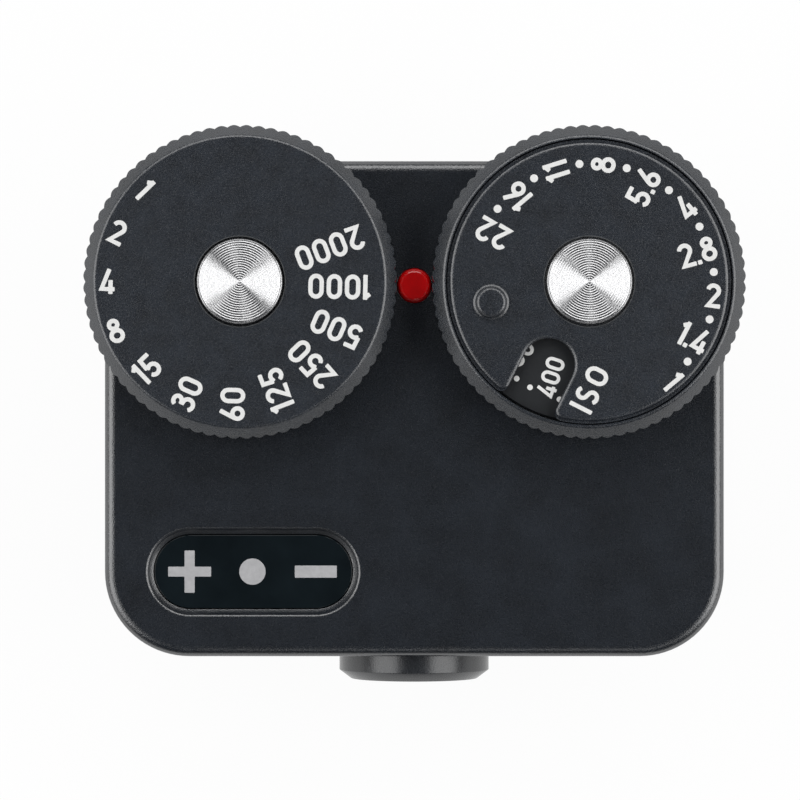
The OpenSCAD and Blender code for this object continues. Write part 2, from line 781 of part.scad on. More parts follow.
module foot_screws() {
  color("#8b8e92")
  for (p = foot_screws_at) translate([p[0], p[1], 0]) difference() {
    flat_screw(foot_screw_r * 2, foot_screw_r, base_top);
    cross_recess(foot_screw_r * 2);
  }
}

// Display window
module window_glass() {
  color("#0b0e12")
  difference() {
    union() {
      translate([window_x, window_y, flange_z]) linear_extrude(window_flange_t)
        slot_outline(window_l + 2 * window_flange_w, window_w + 2 * window_flange_w);
      translate([window_x, window_y, flange_z]) linear_extrude(glass_top - flange_z)
        slot_outline(window_l - 2 * seat_gap, window_w - 2 * seat_gap);
    }
    translate([0, 0, glass_top - symbol_depth]) symbols(seat_gap, symbol_depth + 1);
  }
}

module symbols(grow, h) {
  translate([symbols_x[0], window_y, 0]) linear_extrude(h) {
    square([symbol_l + 2 * grow, symbol_stroke + 2 * grow], center = true);
    square([symbol_stroke + 2 * grow, symbol_l + 2 * grow], center = true);
  }
  translate([symbols_x[1], window_y, 0]) cylinder(h = h, r = symbol_dot_r + grow);
  translate([symbols_x[2], window_y, 0]) linear_extrude(h)
    square([symbol_l + 2 * grow, symbol_stroke + 2 * grow], center = true);
}

module window_symbols() {
  color("#b8babb")
  translate([0, 0, glass_top - symbol_depth]) symbols(0, symbol_depth);
}

module light_guide() {
  color("#1a1a1a")
  difference() {
    translate([window_x - guide_l / 2, window_y - guide_w / 2, board_top])
      cube([guide_l, guide_w, flange_z - board_top]);
    for (x = symbols_x)
      translate([x, window_y, board_top - 1]) cylinder(h = flange_z - board_top + 2, r = well_r);
  }
}

module indicator_lamps() {
  color("#f2efe2")
  for (x = symbols_x)
    translate([x - lamp_l / 2, window_y - lamp_w / 2, board_top]) cube([lamp_l, lamp_w, lamp_h]);
}

module index_jewel() {
  color("#b01015")
  translate([0, jewel_y, 0]) {
    translate([0, 0, top_z - jewel_depth]) cylinder(h = jewel_depth, r = jewel_r);
    translate([0, 0, top_z]) cylinder(h = jewel_rise, r1 = jewel_r, r2 = jewel_top_r);
  }
}

// Dials
function knurl_radius(step) = dial_r - knurl_depth + knurl_depth * abs(sin(45 * step));

// The knurled outline between two 45 degree bevels, which meet outside the crests
module knurled_blank() {
  middle = (dial_top_r + dial_r - dial_low_edge + dial_h) / 2;
  intersection() {
    linear_extrude(dial_h)
      polygon([for (i = [0 : 4 * knurl_count - 1]) let (a = 90 * i / knurl_count)
        knurl_radius(i) * [cos(a), sin(a)]]);
    rotate_extrude()
      polygon([[0, 0], [dial_r - dial_low_edge, 0],
        [middle, middle - dial_r + dial_low_edge], [dial_top_r, dial_h], [0, dial_h]]);
  }
}

// What both dials have below: hollow for the bush nut, click stops and driving hole
module dial_underside() {
  translate([0, 0, dial_z - 1]) cylinder(h = cavity_z - dial_z + 1, r = cavity_r);
  translate([0, 0, dial_z - 1])
    ring(stop_ring_r + groove_w / 2, stop_ring_r - groove_w / 2, groove_depth + 1);
  for (i = [0 : stop_count - 1]) rotate(360 * i / stop_count)
    translate([stop_ring_r, 0, dial_z]) cylinder(h = groove_depth + dimple_depth, r = dimple_r);
  translate([0, 0, cavity_z - 1]) linear_extrude(floor_t + 2)
    d_outline(step_r + seat_gap, flat_depth);
}

module shutter_dial() {
  color("#303236")
  at_dial(-1) difference() {
    translate([0, 0, dial_z]) knurled_blank();
    dial_underside();
    translate([0, 0, cup_z]) cylinder(h = dial_h, r = dial_head_r + seat_gap);
    translate([0, 0, cup_z + dial_head_h]) cylinder(h = dial_h, r = cap_seat_r);
  }
}

module shutter_cap() {
  color("#d8d9da")
  at_dial(-1) translate([0, 0, cup_z + dial_head_h]) {
    cylinder(h = cap_top_z - cup_z - dial_head_h - cap_edge, r = cap_r);
    cylinder(h = cap_top_z - cup_z - dial_head_h, r = cap_r - cap_edge);
  }
}

// A dial screw stands on its tip: head from seat_z up, thread down into the shaft
module dial_screw(seat_z) {
  difference() {
    union() {
      translate([0, 0, seat_z]) cylinder(h = dial_head_h, r = dial_head_r);
      translate([0, 0, cavity_z - dial_screw_grip])
        cylinder(h = seat_z - cavity_z + dial_screw_grip, r = dial_screw_r);
    }
    translate([-dial_head_r, -screw_slot_w / 2, seat_z + dial_head_h - screw_slot_depth])
      cube([2 * dial_head_r, screw_slot_w, screw_slot_depth + 1]);
  }
}

module shutter_screw() {
  color("#9a9c9f")
  at_dial(-1) dial_screw(cup_z);
}

module dial_shaft() {
  difference() {
    union() {
      translate([0, 0, shaft_end_z]) linear_extrude(cup_z - run_gap - shaft_end_z)
        d_outline(step_r, flat_depth + seat_gap);
      translate([0, 0, shoulder_z]) cylinder(h = cavity_z - shoulder_z, r = shaft_r);
    }
    translate([0, 0, cavity_z - dial_screw_grip - free_gap])
      cylinder(h = dial_screw_grip + floor_t + 1, r = dial_screw_r + seat_gap);
    translate([0, 0, clip_z - seat_gap])
      ring(shaft_r + 1, shaft_r - clip_t, clip_t + 2 * seat_gap);
  }
}

module shutter_shaft() {
  color("#c9b26a")
  at_dial(-1) dial_shaft();
}

module shaft_clip() {
  translate([0, 0, clip_z]) difference() {
    cylinder(h = clip_t, r = clip_r);
    translate([0, 0, -1]) cylinder(h = clip_t + 2, r = shaft_r - clip_t + seat_gap);
    translate([0, -(shaft_r - clip_t), -1]) cube([clip_r + 1, 2 * (shaft_r - clip_t), clip_t + 2]);
  }
}

module shutter_clip() {
  color("#6f7276")
  at_dial(-1) shaft_clip();
}

module dial_bush() {
  difference() {
    union() {
      translate([0, 0, bush_z]) cylinder(h = bush_flange_t, r = bush_flange_r);
      translate([0, 0, bush_z]) cylinder(h = top_z + nut_t - bush_z, r = bush_r);
    }
    translate([0, 0, bush_z - 1]) cylinder(h = top_z + nut_t - bush_z + 2, r = shaft_r + run_gap);
  }
}

module shutter_bush() {
  color("#c9a24d")
  at_dial(-1) dial_bush();
}

module bush_nut() {
  translate([0, 0, top_z]) difference() {
    cylinder(h = nut_t, r = nut_flats / sqrt(3), $fn = 6);
    translate([0, 0, -1]) cylinder(h = nut_t + 2, r = bush_r + seat_gap);
  }
}

module shutter_bush_nut() {
  color("#b8963f")
  at_dial(-1) bush_nut();
}

module wiper() {
  difference() {
    union() {
      translate([0, 0, wiper_z]) cylinder(h = wiper_t, r = wiper_r);
      translate([0, 0, wiper_z]) cylinder(h = shoulder_z - wiper_z, r = wiper_hub_r);
    }
    translate([0, 0, wiper_z - 1]) linear_extrude(shoulder_z - wiper_z + 2)
      d_outline(step_r + seat_gap, flat_depth);
  }
}

module shutter_wiper() {
  color("#e3dfd2")
  at_dial(-1) wiper();
}

// A brush: a flat ring under the wiper with two fingers that reach down to the tracks
module brush() {
  translate([0, 0, wiper_z - brush_t]) ring(wiper_hub_r, step_r + free_gap, brush_t);
  translate([wiper_hub_r - brush_arm_w / 2, -brush_arm_w / 2, wiper_z - brush_t])
    cube([track_r + track_w / 2 - wiper_hub_r + brush_arm_w / 2, brush_arm_w, brush_t]);
  for (r = [track_inner_r, track_r])
    translate([r, 0, wiper_z - brush_t - brush_foot]) cylinder(h = brush_foot, r = brush_tip_r);
}

module shutter_brush() {
  color("#d6b95c")
  at_dial(-1) brush();
}

// Aperture dial
module aperture_ring() {
  color("#303236")
  at_dial(1) difference() {
    translate([0, 0, dial_z]) knurled_blank();
    dial_underside();
    translate([0, 0, cup_z]) cylinder(h = dial_h, r = cup_r);
  }
}

module film_speed_disc() {
  color("#1d1f22")
  at_dial(1) translate([0, 0, cup_z]) ring(speed_r, collar_r + seat_gap, speed_top - cup_z);
}

module friction_washer() {
  color("#c7a65a")
  at_dial(1) translate([0, 0, speed_top + seat_gap]) ring(washer_r, collar_r + run_gap, washer_t);
}

module notch_outline() {
  translate([notch_at, 0]) circle(notch_r);
  polygon([[notch_at, -notch_r], [face_r, -notch_mouth / 2], [face_r + 1, -notch_mouth / 2],
    [face_r + 1, notch_mouth / 2], [face_r, notch_mouth / 2], [notch_at, notch_r]]);
}

module aperture_face() {
  color("#303236")
  at_dial(1) translate([0, 0, face_z]) difference() {
    cylinder(h = face_t, r = face_r);
    translate([0, 0, -1]) cylinder(h = face_t + 2, r = collar_r + run_gap);
    translate([0, 0, face_seat]) cylinder(h = face_t, r = cap_seat_r);
    translate([0, 0, -1]) linear_extrude(face_t + 2) rotate(notch_angle) notch_outline();
    rotate(finger_angle) translate([finger_at, 0, -1])
      cylinder(h = face_t + 2, r = finger_r / 2 + seat_gap);
  }
}

module finger_pin() {
  color("#303236")
  at_dial(1) rotate(finger_angle) translate([finger_at, 0, 0]) {
    translate([0, 0, face_z]) cylinder(h = face_t, r = finger_r / 2);
    translate([0, 0, dial_top_z]) cylinder(h = finger_h, r1 = finger_r, r2 = finger_top_r);
  }
}

module aperture_collar() {
  color("#c9a24d")
  at_dial(1) difference() {
    union() {
      translate([0, 0, cup_z]) cylinder(h = collar_flange_z - cup_z, r = collar_r);
      translate([0, 0, collar_flange_z]) cylinder(h = collar_flange_t, r = cap_r);
    }
    translate([0, 0, cup_z + collar_floor]) cylinder(h = dial_h, r = collar_bore_r);
    translate([0, 0, cup_z - 1]) cylinder(h = collar_floor + 2, r = dial_screw_r + seat_gap);
  }
}

module aperture_cap() {
  color("#d8d9da")
  at_dial(1) {
    cap_z = collar_flange_z + collar_flange_t;
    translate([0, 0, cap_z]) cylinder(h = cap_top_z - cap_z - cap_edge, r = cap_r);
    translate([0, 0, cap_z]) cylinder(h = cap_top_z - cap_z, r = cap_r - cap_edge);
    translate([0, 0, cap_z - cap_spigot]) cylinder(h = cap_spigot, r = collar_bore_r - seat_gap);
  }
}

module aperture_screw() {
  color("#9a9c9f")
  at_dial(1) dial_screw(cup_z + collar_floor);
}

module aperture_shaft() {
  color("#c9b26a")
  at_dial(1) dial_shaft();
}

module aperture_clip() {
  color("#6f7276")
  at_dial(1) shaft_clip();
}

module aperture_bush() {
  color("#c9a24d")
  at_dial(1) dial_bush();
}

module aperture_bush_nut() {
  color("#b8963f")
  at_dial(1) bush_nut();
}

module aperture_wiper() {
  color("#e3dfd2")
  at_dial(1) wiper();
}

module aperture_brush() {
  color("#d6b95c")
  at_dial(1) brush();
}

// Click stops
module detent_balls() {
  color("#dadcde")
  for (s = [-1, 1]) at_dial(s) translate([-s * stop_ring_r, 0, ball_z]) sphere(ball_r);
}

module detent_springs() {
  color("#9fa2a5")
  for (s = [-1, 1]) at_dial(s) translate([-s * stop_ring_r, 0, top_z - ball_hole_depth])
    coil(detent_coil_r, detent_wire_r, ball_z - ball_r - top_z + ball_hole_depth, detent_turns);
}

// Light sensor: everything is drawn along +Z from the bezel's front, then laid along +Y
module at_sensor() {
  translate([0, bezel_y, sensor_z]) rotate([-90, 0, 0]) children();
}

module sensor_bezel() {
  color("#1f2124")
  at_sensor() rotate_extrude() polygon([
    [bezel_r - bezel_chamfer_r, 0], [bezel_r, bezel_chamfer_l], [bezel_r, bezel_out],
    [barrel_r, bezel_out], [barrel_r, barrel_l], [barrel_bore_r, barrel_l],
    [barrel_bore_r, filter_back], [stop_r, filter_back], [stop_r, stop_back],
    [lens_r + seat_gap, stop_back], [lens_r + seat_gap, lens_back], [cone_r, cone_lip], [cone_r, 0]
  ]);
}

module sensor_nut() {
  color("#b8963f")
  at_sensor() translate([0, 0, bezel_out + wall]) ring(ring_nut_r, barrel_r + seat_gap, ring_nut_t);
}

module sensor_lens() {
  dome_r = (lens_r * lens_r + lens_dome * lens_dome) / (2 * lens_dome);
  color("#dfe6ea")
  at_sensor() {
    translate([0, 0, lens_back]) cylinder(h = lens_t, r = lens_r);
    intersection() {
      translate([0, 0, lens_back - lens_dome + dome_r]) sphere(dome_r);
      translate([0, 0, lens_back - lens_dome]) cylinder(h = lens_dome, r = lens_r);
    }
  }
}

module sensor_filter() {
  color("#7fb3a6")
  at_sensor() translate([0, 0, filter_back]) cylinder(h = filter_t, r = barrel_bore_r - seat_gap);
}

module photodiode() {
  color("#3a3f45")
  at_sensor() translate([-diode_w / 2, -diode_w / 2, barrel_l - diode_t])
    cube([diode_w, diode_w, diode_t]);
}

module sensor_board() {
  color("#2f6b45")
  at_sensor() translate([-sensor_board_w / 2, -sensor_board_w / 2, barrel_l])
    cube([sensor_board_w, sensor_board_w, sensor_board_t]);
}

module sensor_ribbon() {
  color("#c98a2e")
  translate([-ribbon_w / 2, sensor_board_y + sensor_board_t, board_top])
    cube([ribbon_w, board_front_gap + ribbon_lap, ribbon_t]);
}

// Main board
module main_board() {
  color("#2f6b45")
  difference() {
    intersection() {
      translate([0, body_y, board_z]) linear_extrude(board_t)
        rounded_outline(2 * board_x, pocket_d - 2 * board_side_gap, pocket_r - board_side_gap);
      union() {
        translate([-board_x, board_front, board_z])
          cube([2 * board_x, board_rear - board_front, board_t]);
        translate([-board_x, board_left_front, board_z])
          cube([board_x - sensor_board_w / 2 - board_front_gap, board_front - board_left_front, board_t]);
      }
    }
    for (s = [-1, 1]) translate([s * body_w / 2, rear_y, board_z - 1]) linear_extrude(board_t + 2)
      square(2 * (column_inset + column_r + free_gap), center = true);
    for (c = columns) translate([c[0], c[1], board_z - 1]) cylinder(h = board_t + 2, r = c[2] + free_gap);
    translate([cell_x, cell_y, board_z - 1]) cylinder(h = board_t + 2, r = board_notch_r);
    translate([cell_x, cell_y - 2 * holder_r, board_z - 1]) cube([2 * holder_r, 2 * holder_r, board_t + 2]);
    for (s = [-1, 1]) at_dial(s)
      translate([0, 0, board_z - 1]) cylinder(h = board_t + 2, r = step_r + free_gap);
    for (p = posts)
      translate([p[0], p[1], board_z - 1]) cylinder(h = board_t + 2, r = board_screw_r + seat_gap);
  }
}

module board_chips() {
  color("#202224")
  for (c = chips) translate([c[0], body_y + c[1], board_top]) cube([c[2], c[3], c[4]]);
}

module contact_tracks() {
  color("#d6b95c")
  for (s = [-1, 1], r = [track_inner_r, track_r]) at_dial(s)
    translate([0, 0, board_top]) ring(r + track_w / 2, r - track_w / 2, track_t);
}

module board_screws() {
  color("#9a9c9f")
  for (p = posts) translate([p[0], p[1], board_z - board_head_h]) difference() {
    union() {
      cylinder(h = board_head_h, r = board_head_r);
      cylinder(h = board_head_h + board_t + board_screw_l - free_gap, r = board_screw_r);
    }
    cross_recess(board_head_r);
  }
}

// Battery
module cell_holder() {
  color("#24262a")
  translate([cell_x, cell_y, 0]) difference() {
    translate([0, 0, base_top]) cylinder(h = ceiling_z - base_top, r = holder_r);
    translate([0, 0, base_top - 1]) cylinder(h = contact_top - base_top + 1, r = cell_r + cell_gap);
    translate([0, 0, base_top - 1])
      cylinder(h = cap_in_z + seal_t + seat_gap - base_top + 1, r = seal_r + seat_gap);
    translate([-holder_r - 1, -leg_w / 2 - seat_gap, cells_top])
      cube([holder_r, leg_w + 2 * seat_gap, top_contact_t]);
  }
}

module button_cells() {
  color("#cfd2d4")
  for (i = [0 : cell_count - 1]) translate([cell_x, cell_y, cells_z + i * (cell_h + seat_gap)]) {
    cylinder(h = cell_pole_h, r = cell_pole_r);
    translate([0, 0, cell_pole_h]) cylinder(h = cell_h - cell_pole_h, r = cell_r);
  }
}

module upper_contact() {
  color("#d9dadb")
  translate([cell_x, cell_y, 0]) {
    translate([0, 0, cells_top]) cylinder(h = top_contact_t, r = top_contact_r);
    translate([-leg_x - top_contact_t, -leg_w / 2, cells_top])
      cube([leg_x + top_contact_t, leg_w, top_contact_t]);
    translate([-leg_x - top_contact_t, -leg_w / 2, board_top])
      cube([top_contact_t, leg_w, contact_top - board_top]);
    translate([-leg_x - top_contact_t - leg_foot, -leg_w / 2, board_top])
      cube([leg_foot + top_contact_t, leg_w, top_contact_t]);
  }
}

module cap_contact() {
  color("#d9dadb")
  translate([cell_x, cell_y, cap_in_z]) cylinder(h = cap_contact_t, r = cap_contact_r);
}

module cell_cap() {
  color("#b9bcbf")
  translate([cell_x, cell_y, floor_z]) difference() {
    cylinder(h = cell_cap_t, r = cell_cap_r);
    translate([-coin_slot_l / 2, -coin_slot_w / 2, -1])
      cube([coin_slot_l, coin_slot_w, coin_slot_depth + 1]);
  }
}

module cap_seal() {
  color("#151515")
  translate([cell_x, cell_y, cap_in_z]) ring(seal_r, seal_r - seal_w, seal_t);
}

// Measure button: drawn along +Z from the outer face, then laid along -Y
module at_button() {
  translate([0, rear_y, button_z]) rotate([90, 0, 0]) children();
}

module measure_button() {
  color("#1b1d20")
  at_button() {
    translate([0, 0, button_edge]) cylinder(h = wall - button_edge, r = button_r);
    cylinder(h = button_edge, r1 = button_r - button_edge, r2 = button_r);
    translate([0, 0, wall]) cylinder(h = button_flange_t, r = button_r + button_flange_w);
    translate([0, 0, wall + button_flange_t]) cylinder(h = stem_l, r = stem_r);
  }
}

module button_spring() {
  color("#9fa2a5")
  at_button() translate([0, 0, rear_y - stem_y])
    coil(coil_r, coil_wire_r, stem_y - switch_y, coil_turns);
}

module measure_switch() {
  color("#2a2c2f")
  difference() {
    translate([-switch_w / 2, switch_y - switch_d, board_top]) cube([switch_w, switch_d, switch_h]);
    translate([0, switch_y + 1, button_z]) rotate([90, 0, 0])
      cylinder(h = switch_d, r = plunger_r + run_gap);
  }
}

module switch_plunger() {
  color("#e8e4d8")
  translate([0, stem_end, button_z]) rotate([90, 0, 0]) cylinder(h = plunger_l, r = plunger_r);
}

housing();
base_plate();
base_screws();
shoe_foot_plate();
shoe_foot_neck();
foot_screws();
window_glass();
window_symbols();
light_guide();
indicator_lamps();
index_jewel();
shutter_dial();
shutter_cap();
shutter_screw();
shutter_shaft();
shutter_clip();
shutter_bush();
shutter_bush_nut();
shutter_wiper();
shutter_brush();
aperture_ring();
film_speed_disc();
friction_washer();
aperture_face();
finger_pin();
aperture_collar();
aperture_cap();
aperture_screw();
aperture_shaft();
aperture_clip();
aperture_bush();
aperture_bush_nut();
aperture_wiper();
aperture_brush();
detent_balls();
detent_springs();
sensor_bezel();
sensor_nut();
sensor_lens();
sensor_filter();
photodiode();
sensor_board();
sensor_ribbon();
main_board();
board_chips();
contact_tracks();
board_screws();
cell_holder();
button_cells();
upper_contact();
cap_contact();
cell_cap();
cap_seal();
measure_button();
button_spring();
measure_switch();
switch_plunger();
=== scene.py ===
import math
import bpy
from mathutils import Matrix, Vector


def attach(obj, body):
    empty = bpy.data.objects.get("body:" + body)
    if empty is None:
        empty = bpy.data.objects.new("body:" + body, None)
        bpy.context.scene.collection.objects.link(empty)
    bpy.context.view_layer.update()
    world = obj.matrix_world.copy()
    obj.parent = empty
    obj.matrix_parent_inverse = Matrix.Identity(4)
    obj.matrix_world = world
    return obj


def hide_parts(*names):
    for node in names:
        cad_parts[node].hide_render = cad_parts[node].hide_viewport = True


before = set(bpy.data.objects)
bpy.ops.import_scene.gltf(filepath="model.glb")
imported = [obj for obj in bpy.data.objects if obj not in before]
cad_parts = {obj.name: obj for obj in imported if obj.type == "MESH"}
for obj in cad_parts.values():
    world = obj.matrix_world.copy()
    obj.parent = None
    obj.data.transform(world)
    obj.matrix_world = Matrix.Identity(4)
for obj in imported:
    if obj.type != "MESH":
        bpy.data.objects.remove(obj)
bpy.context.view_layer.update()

scene = bpy.context.scene
scene.view_settings.view_transform = "Standard"

# Camera: it hangs straight above the meter and a little to its left. The lens is long,
# so the sides of the body hide behind its top face.
MM = 0.001
LENS = 196.7
CAMERA_AT = (-1.02, -5.283, 328.1)
camera_data = bpy.data.cameras.new("overhead_camera")
camera_data.sensor_width = 36
camera_data.lens = LENS
camera_data.clip_start = 0.01
camera_data.clip_end = 20
camera = bpy.data.objects.new("overhead_camera", camera_data)
camera.location = [at * MM for at in CAMERA_AT]
scene.collection.objects.link(camera)
scene.camera = camera


# Table: a sheet of white card. What the camera and the mirror rays see of it is pure
# white, and the diffuse share keeps a faint shadow of the meter.
CARD_SIZE = 3
CARD_DROP = 0.02
CARD_GLOW = 0.95


def select_only(*pieces):
    """Leaves edit mode and selects these pieces and nothing else, the first one active"""
    if bpy.context.object and bpy.context.object.mode != "OBJECT":
        bpy.ops.object.mode_set(mode="OBJECT")
    bpy.ops.object.select_all(action="DESELECT")
    for one in pieces:
        one.select_set(True)
    bpy.context.view_layer.objects.active = pieces[0]


def add_nodes(owner, *kinds):
    """Adds nodes to a material or the world. Gives the call that joins sockets, and the nodes."""
    tree = owner.node_tree
    return tree.links.new, [tree.nodes.new("ShaderNode" + kind) for kind in kinds]


def seen_by_ray(owner, *rays):
    """A value of 1 for the named kinds of ray and 0 for all others"""
    join, (path,) = add_nodes(owner, "LightPath")
    seen = path.outputs[rays[0]]
    for ray in rays[1:]:
        join, (either,) = add_nodes(owner, "Math")
        either.operation = "MAXIMUM"
        join(seen, either.inputs[0])
        join(path.outputs[ray], either.inputs[1])
        seen = either.outputs[0]
    return seen


EYE_AND_MIRROR = ("Is Camera Ray", "Is Glossy Ray", "Is Transmission Ray")

bpy.ops.object.select_all(action="DESELECT")
bpy.ops.mesh.primitive_plane_add(size=CARD_SIZE, location=(0, 0, -CARD_DROP * MM))
table = bpy.context.object
table.name = "white_card"
card = bpy.data.materials.new("white_card")
card.use_nodes = True
card.node_tree.nodes.clear()
join, (matt, glow, mix, share, out) = add_nodes(
    card, "BsdfDiffuse", "Emission", "MixShader", "Math", "OutputMaterial")
matt.inputs["Color"].default_value = (0.92, 0.92, 0.92, 1)
glow.inputs["Strength"].default_value = 1
share.operation = "MULTIPLY"
share.inputs[1].default_value = CARD_GLOW
join(seen_by_ray(card, *EYE_AND_MIRROR), share.inputs[0])
join(share.outputs[0], mix.inputs[0])
join(matt.outputs[0], mix.inputs[1])
join(glow.outputs[0], mix.inputs[2])
join(mix.outputs[0], out.inputs[0])
table.data.materials.append(card)

# Light: a white tent that is open above, where the camera looks in, and dimmer at the front
# and in its two rear corners, with soft boxes half-way up its sides. Flat black tops mirror
# the dark opening, rounded edges and spun caps the boxes.
WALL_COLOURS = ((0.02, (1, 1, 1, 1)), (0.22, (0.3, 0.3, 0.3, 1)), (0.55, (0.034, 0.036, 0.042, 1)))
FRONT_LEVEL = 0.35
REAR_CORNER_LEVEL = 0.2
DIFFUSE_LEVEL = 0.1
BOX_DISTANCE = 0.8


def set_range(node, low, high, to_low, to_high):
    """Sets what a range node reads and what it gives"""
    for socket, value in (("From Min", low), ("From Max", high), ("To Min", to_low), ("To Max", to_high)):
        node.inputs[socket].default_value = value


world = bpy.data.worlds.new("tent")
scene.world = world
world.use_nodes = True
world.node_tree.nodes.clear()
join, (where, split, height_ramp, front, sideways, diagonal, corners, walls, dimmed, cloth) = add_nodes(
    world, "TexCoord", "SeparateXYZ", "ValToRGB", "MapRange", "Math", "Math", "MapRange", "Math",
    "MixRGB", "MixRGB")
join, (level, sky, out) = add_nodes(world, "MapRange", "Background", "OutputWorld")
(low_at, low_colour), (middle_at, middle_colour), (high_at, high_colour) = WALL_COLOURS
low, high = height_ramp.color_ramp.elements
low.position = low_at
low.color = low_colour
high.position = high_at
high.color = high_colour
height_ramp.color_ramp.elements.new(middle_at).color = middle_colour
set_range(front, -0.95, -0.5, FRONT_LEVEL, 1)
sideways.operation = "ABSOLUTE"
diagonal.operation = "MULTIPLY"
set_range(corners, 0.15, 0.5, 1, REAR_CORNER_LEVEL)
walls.operation = "MULTIPLY"
dimmed.blend_type = "MULTIPLY"
dimmed.inputs["Fac"].default_value = 1
cloth.inputs["Color1"].default_value = (1, 1, 1, 1)
set_range(level, 0, 1, DIFFUSE_LEVEL, 1)
join(where.outputs["Generated"], split.inputs[0])
join(split.outputs["Z"], height_ramp.inputs[0])
join(split.outputs["Y"], front.inputs["Value"])
join(split.outputs["X"], sideways.inputs[0])
join(sideways.outputs[0], diagonal.inputs[0])
join(split.outputs["Y"], diagonal.inputs[1])
join(diagonal.outputs[0], corners.inputs["Value"])
join(front.outputs[0], walls.inputs[0])
join(corners.outputs[0], walls.inputs[1])
join(height_ramp.outputs[0], dimmed.inputs["Color1"])
join(walls.outputs[0], dimmed.inputs["Color2"])
join(seen_by_ray(world, "Is Glossy Ray", "Is Transmission Ray"), cloth.inputs["Fac"])
join(dimmed.outputs[0], cloth.inputs["Color2"])
join(cloth.outputs[0], sky.inputs["Color"])
join(seen_by_ray(world, *EYE_AND_MIRROR), level.inputs["Value"])
join(level.outputs[0], sky.inputs["Strength"])
join(sky.outputs[0], out.inputs["Surface"])


def softbox(name, heading, height, wide, tall, power):
    """A soft box at a heading and a height in degrees seen from the meter, turned to it"""
    turn = math.radians(heading)
    lift = math.radians(height)
    place = BOX_DISTANCE * Vector(
        (math.cos(lift) * math.cos(turn), math.cos(lift) * math.sin(turn), math.sin(lift)))
    bpy.ops.object.light_add(type="AREA", location=place)
    lamp = bpy.context.object
    lamp.name = name
    lamp.data.shape = "RECTANGLE"
    lamp.data.size = wide
    lamp.data.size_y = tall
    lamp.data.energy = power
    lamp.rotation_euler = (-place).to_track_quat("-Z", "Y").to_euler()


softbox("box_left", 180, 44, 0.86, 0.6, 3.7)
softbox("box_right", 0, 44, 0.86, 0.6, 4.0)
softbox("box_rear", 88, 45, 1.0, 0.36, 2.95)
softbox("box_front", 278, 50, 0.14, 0.16, 0.12)

# Housing: milled from one block of aluminium, bead blasted and anodised black. Its upright
# corners and top edge are rounded, and columns and posts for the screws stand under its top.
BODY_Y = -5.9
BODY_W = 44
BODY_D = 35.2
CORNER_R = 6
TOP_EDGE_R = 0.88
LOW_EDGE = 0.3
WALL = 1.6
FLOOR_Z = 3.7
BASE_TOP = 5.2
TOP_Z = 18.1
CEILING_Z = 16.5
BOARD_TOP = 9
POCKET_R = CORNER_R - WALL
LEDGE = 0.8
FRONT_Y = BODY_Y - BODY_D / 2
REAR_Y = BODY_Y + BODY_D / 2
DIAL_X = 12.22
DIAL_Y = 3
STOP_RING_R = 7
JEWEL_Y = 2.83
WINDOW_X = -11.44
WINDOW_Y = -17.47
WINDOW_L = 14.1
WINDOW_W = 5.24
CELL_X = 13.4
CELL_Y = -14.9
SENSOR_Z = 11.4
BUTTON_Z = 11
COLUMNS = ((-18.4, 8.1, 1.7), (18.4, 8.1, 1.7), (-19.3, -11.935, 1.4), (5.9, -20.8, 1.4))
POSTS = ((-18.6, -6.4), (18.4, -4.6), (0, -6))
POST_R = 1.4
ROOT = 0.8
CLICK_BOSS = (13.9, 1.5)
CLICK_BORE = (14.4, 0.64)
COLUMN_BORE = (8.4, 0.82)
POST_BORE = (12, 0.62)
BUSH_BORE_R = 3.02
CELL_WELL = (16.74, 6)
CONTACT_SLOT = (7.1, 1.02)
JEWEL_SEAT = (1.2, 1.24)
SENSOR_BORE_R = 3.72
BUTTON_BORE_R = 3.04
WINDOW_GAP = 0.1
WINDOW_BEVEL = 0.41
WINDOW_BEVEL_EDGE = 0.13


def box(x0, x1, y0, y1, z0, z1):
    bpy.ops.object.select_all(action="DESELECT")
    bpy.ops.mesh.primitive_cube_add(size=1, location=((x0 + x1) / 2, (y0 + y1) / 2, (z0 + z1) / 2))
    bpy.context.object.scale = (x1 - x0, y1 - y0, z1 - z0)
    bpy.ops.object.transform_apply(location=True, rotation=True, scale=True)
    return bpy.context.object


def rod(x, y, z0, z1, r, top_r=None, steps=64):
    bpy.ops.object.select_all(action="DESELECT")
    bpy.ops.mesh.primitive_cone_add(
        vertices=steps, radius1=r, radius2=r if top_r is None else top_r, depth=z1 - z0,
        location=(x, y, (z0 + z1) / 2))
    bpy.ops.object.transform_apply(location=True, rotation=True, scale=True)
    return bpy.context.object


def edge_choice(piece, test):
    """Selects the edges whose two ends pass the test, in edit mode"""
    select_only(piece)
    bpy.ops.object.mode_set(mode="EDIT")
    bpy.ops.mesh.select_mode(type="EDGE")
    bpy.ops.mesh.select_all(action="DESELECT")
    bpy.ops.object.mode_set(mode="OBJECT")
    points = piece.data.vertices
    for edge in piece.data.edges:
        a, b = (points[i].co for i in edge.vertices)
        edge.select = bool(test(a, b))
    bpy.ops.object.mode_set(mode="EDIT")


def bevel_edges(piece, test, width, steps, shape=0.5):
    edge_choice(piece, test)
    bpy.ops.mesh.bevel(offset=width, offset_type="OFFSET", segments=steps, profile=shape, affect="EDGES")
    bpy.ops.object.mode_set(mode="OBJECT")


def near(value, goal, play=0.002):
    return abs(value - goal) < play


def upright(a, b):
    return near(a.x, b.x) and near(a.y, b.y)


def rounded_block(x0, x1, y0, y1, z0, z1, r, steps=16):
    """A box with rounded upright edges"""
    block = box(x0, x1, y0, y1, z0, z1)
    bevel_edges(block, upright, r, steps)
    return block


def arc(x, y, rx, ry, first, last, steps=10):
    """Points along an arc between two angles in degrees"""
    return [(x + rx * math.cos(math.radians(first + (last - first) * i / steps)),
             y + ry * math.sin(math.radians(first + (last - first) * i / steps)))
            for i in range(steps + 1)]


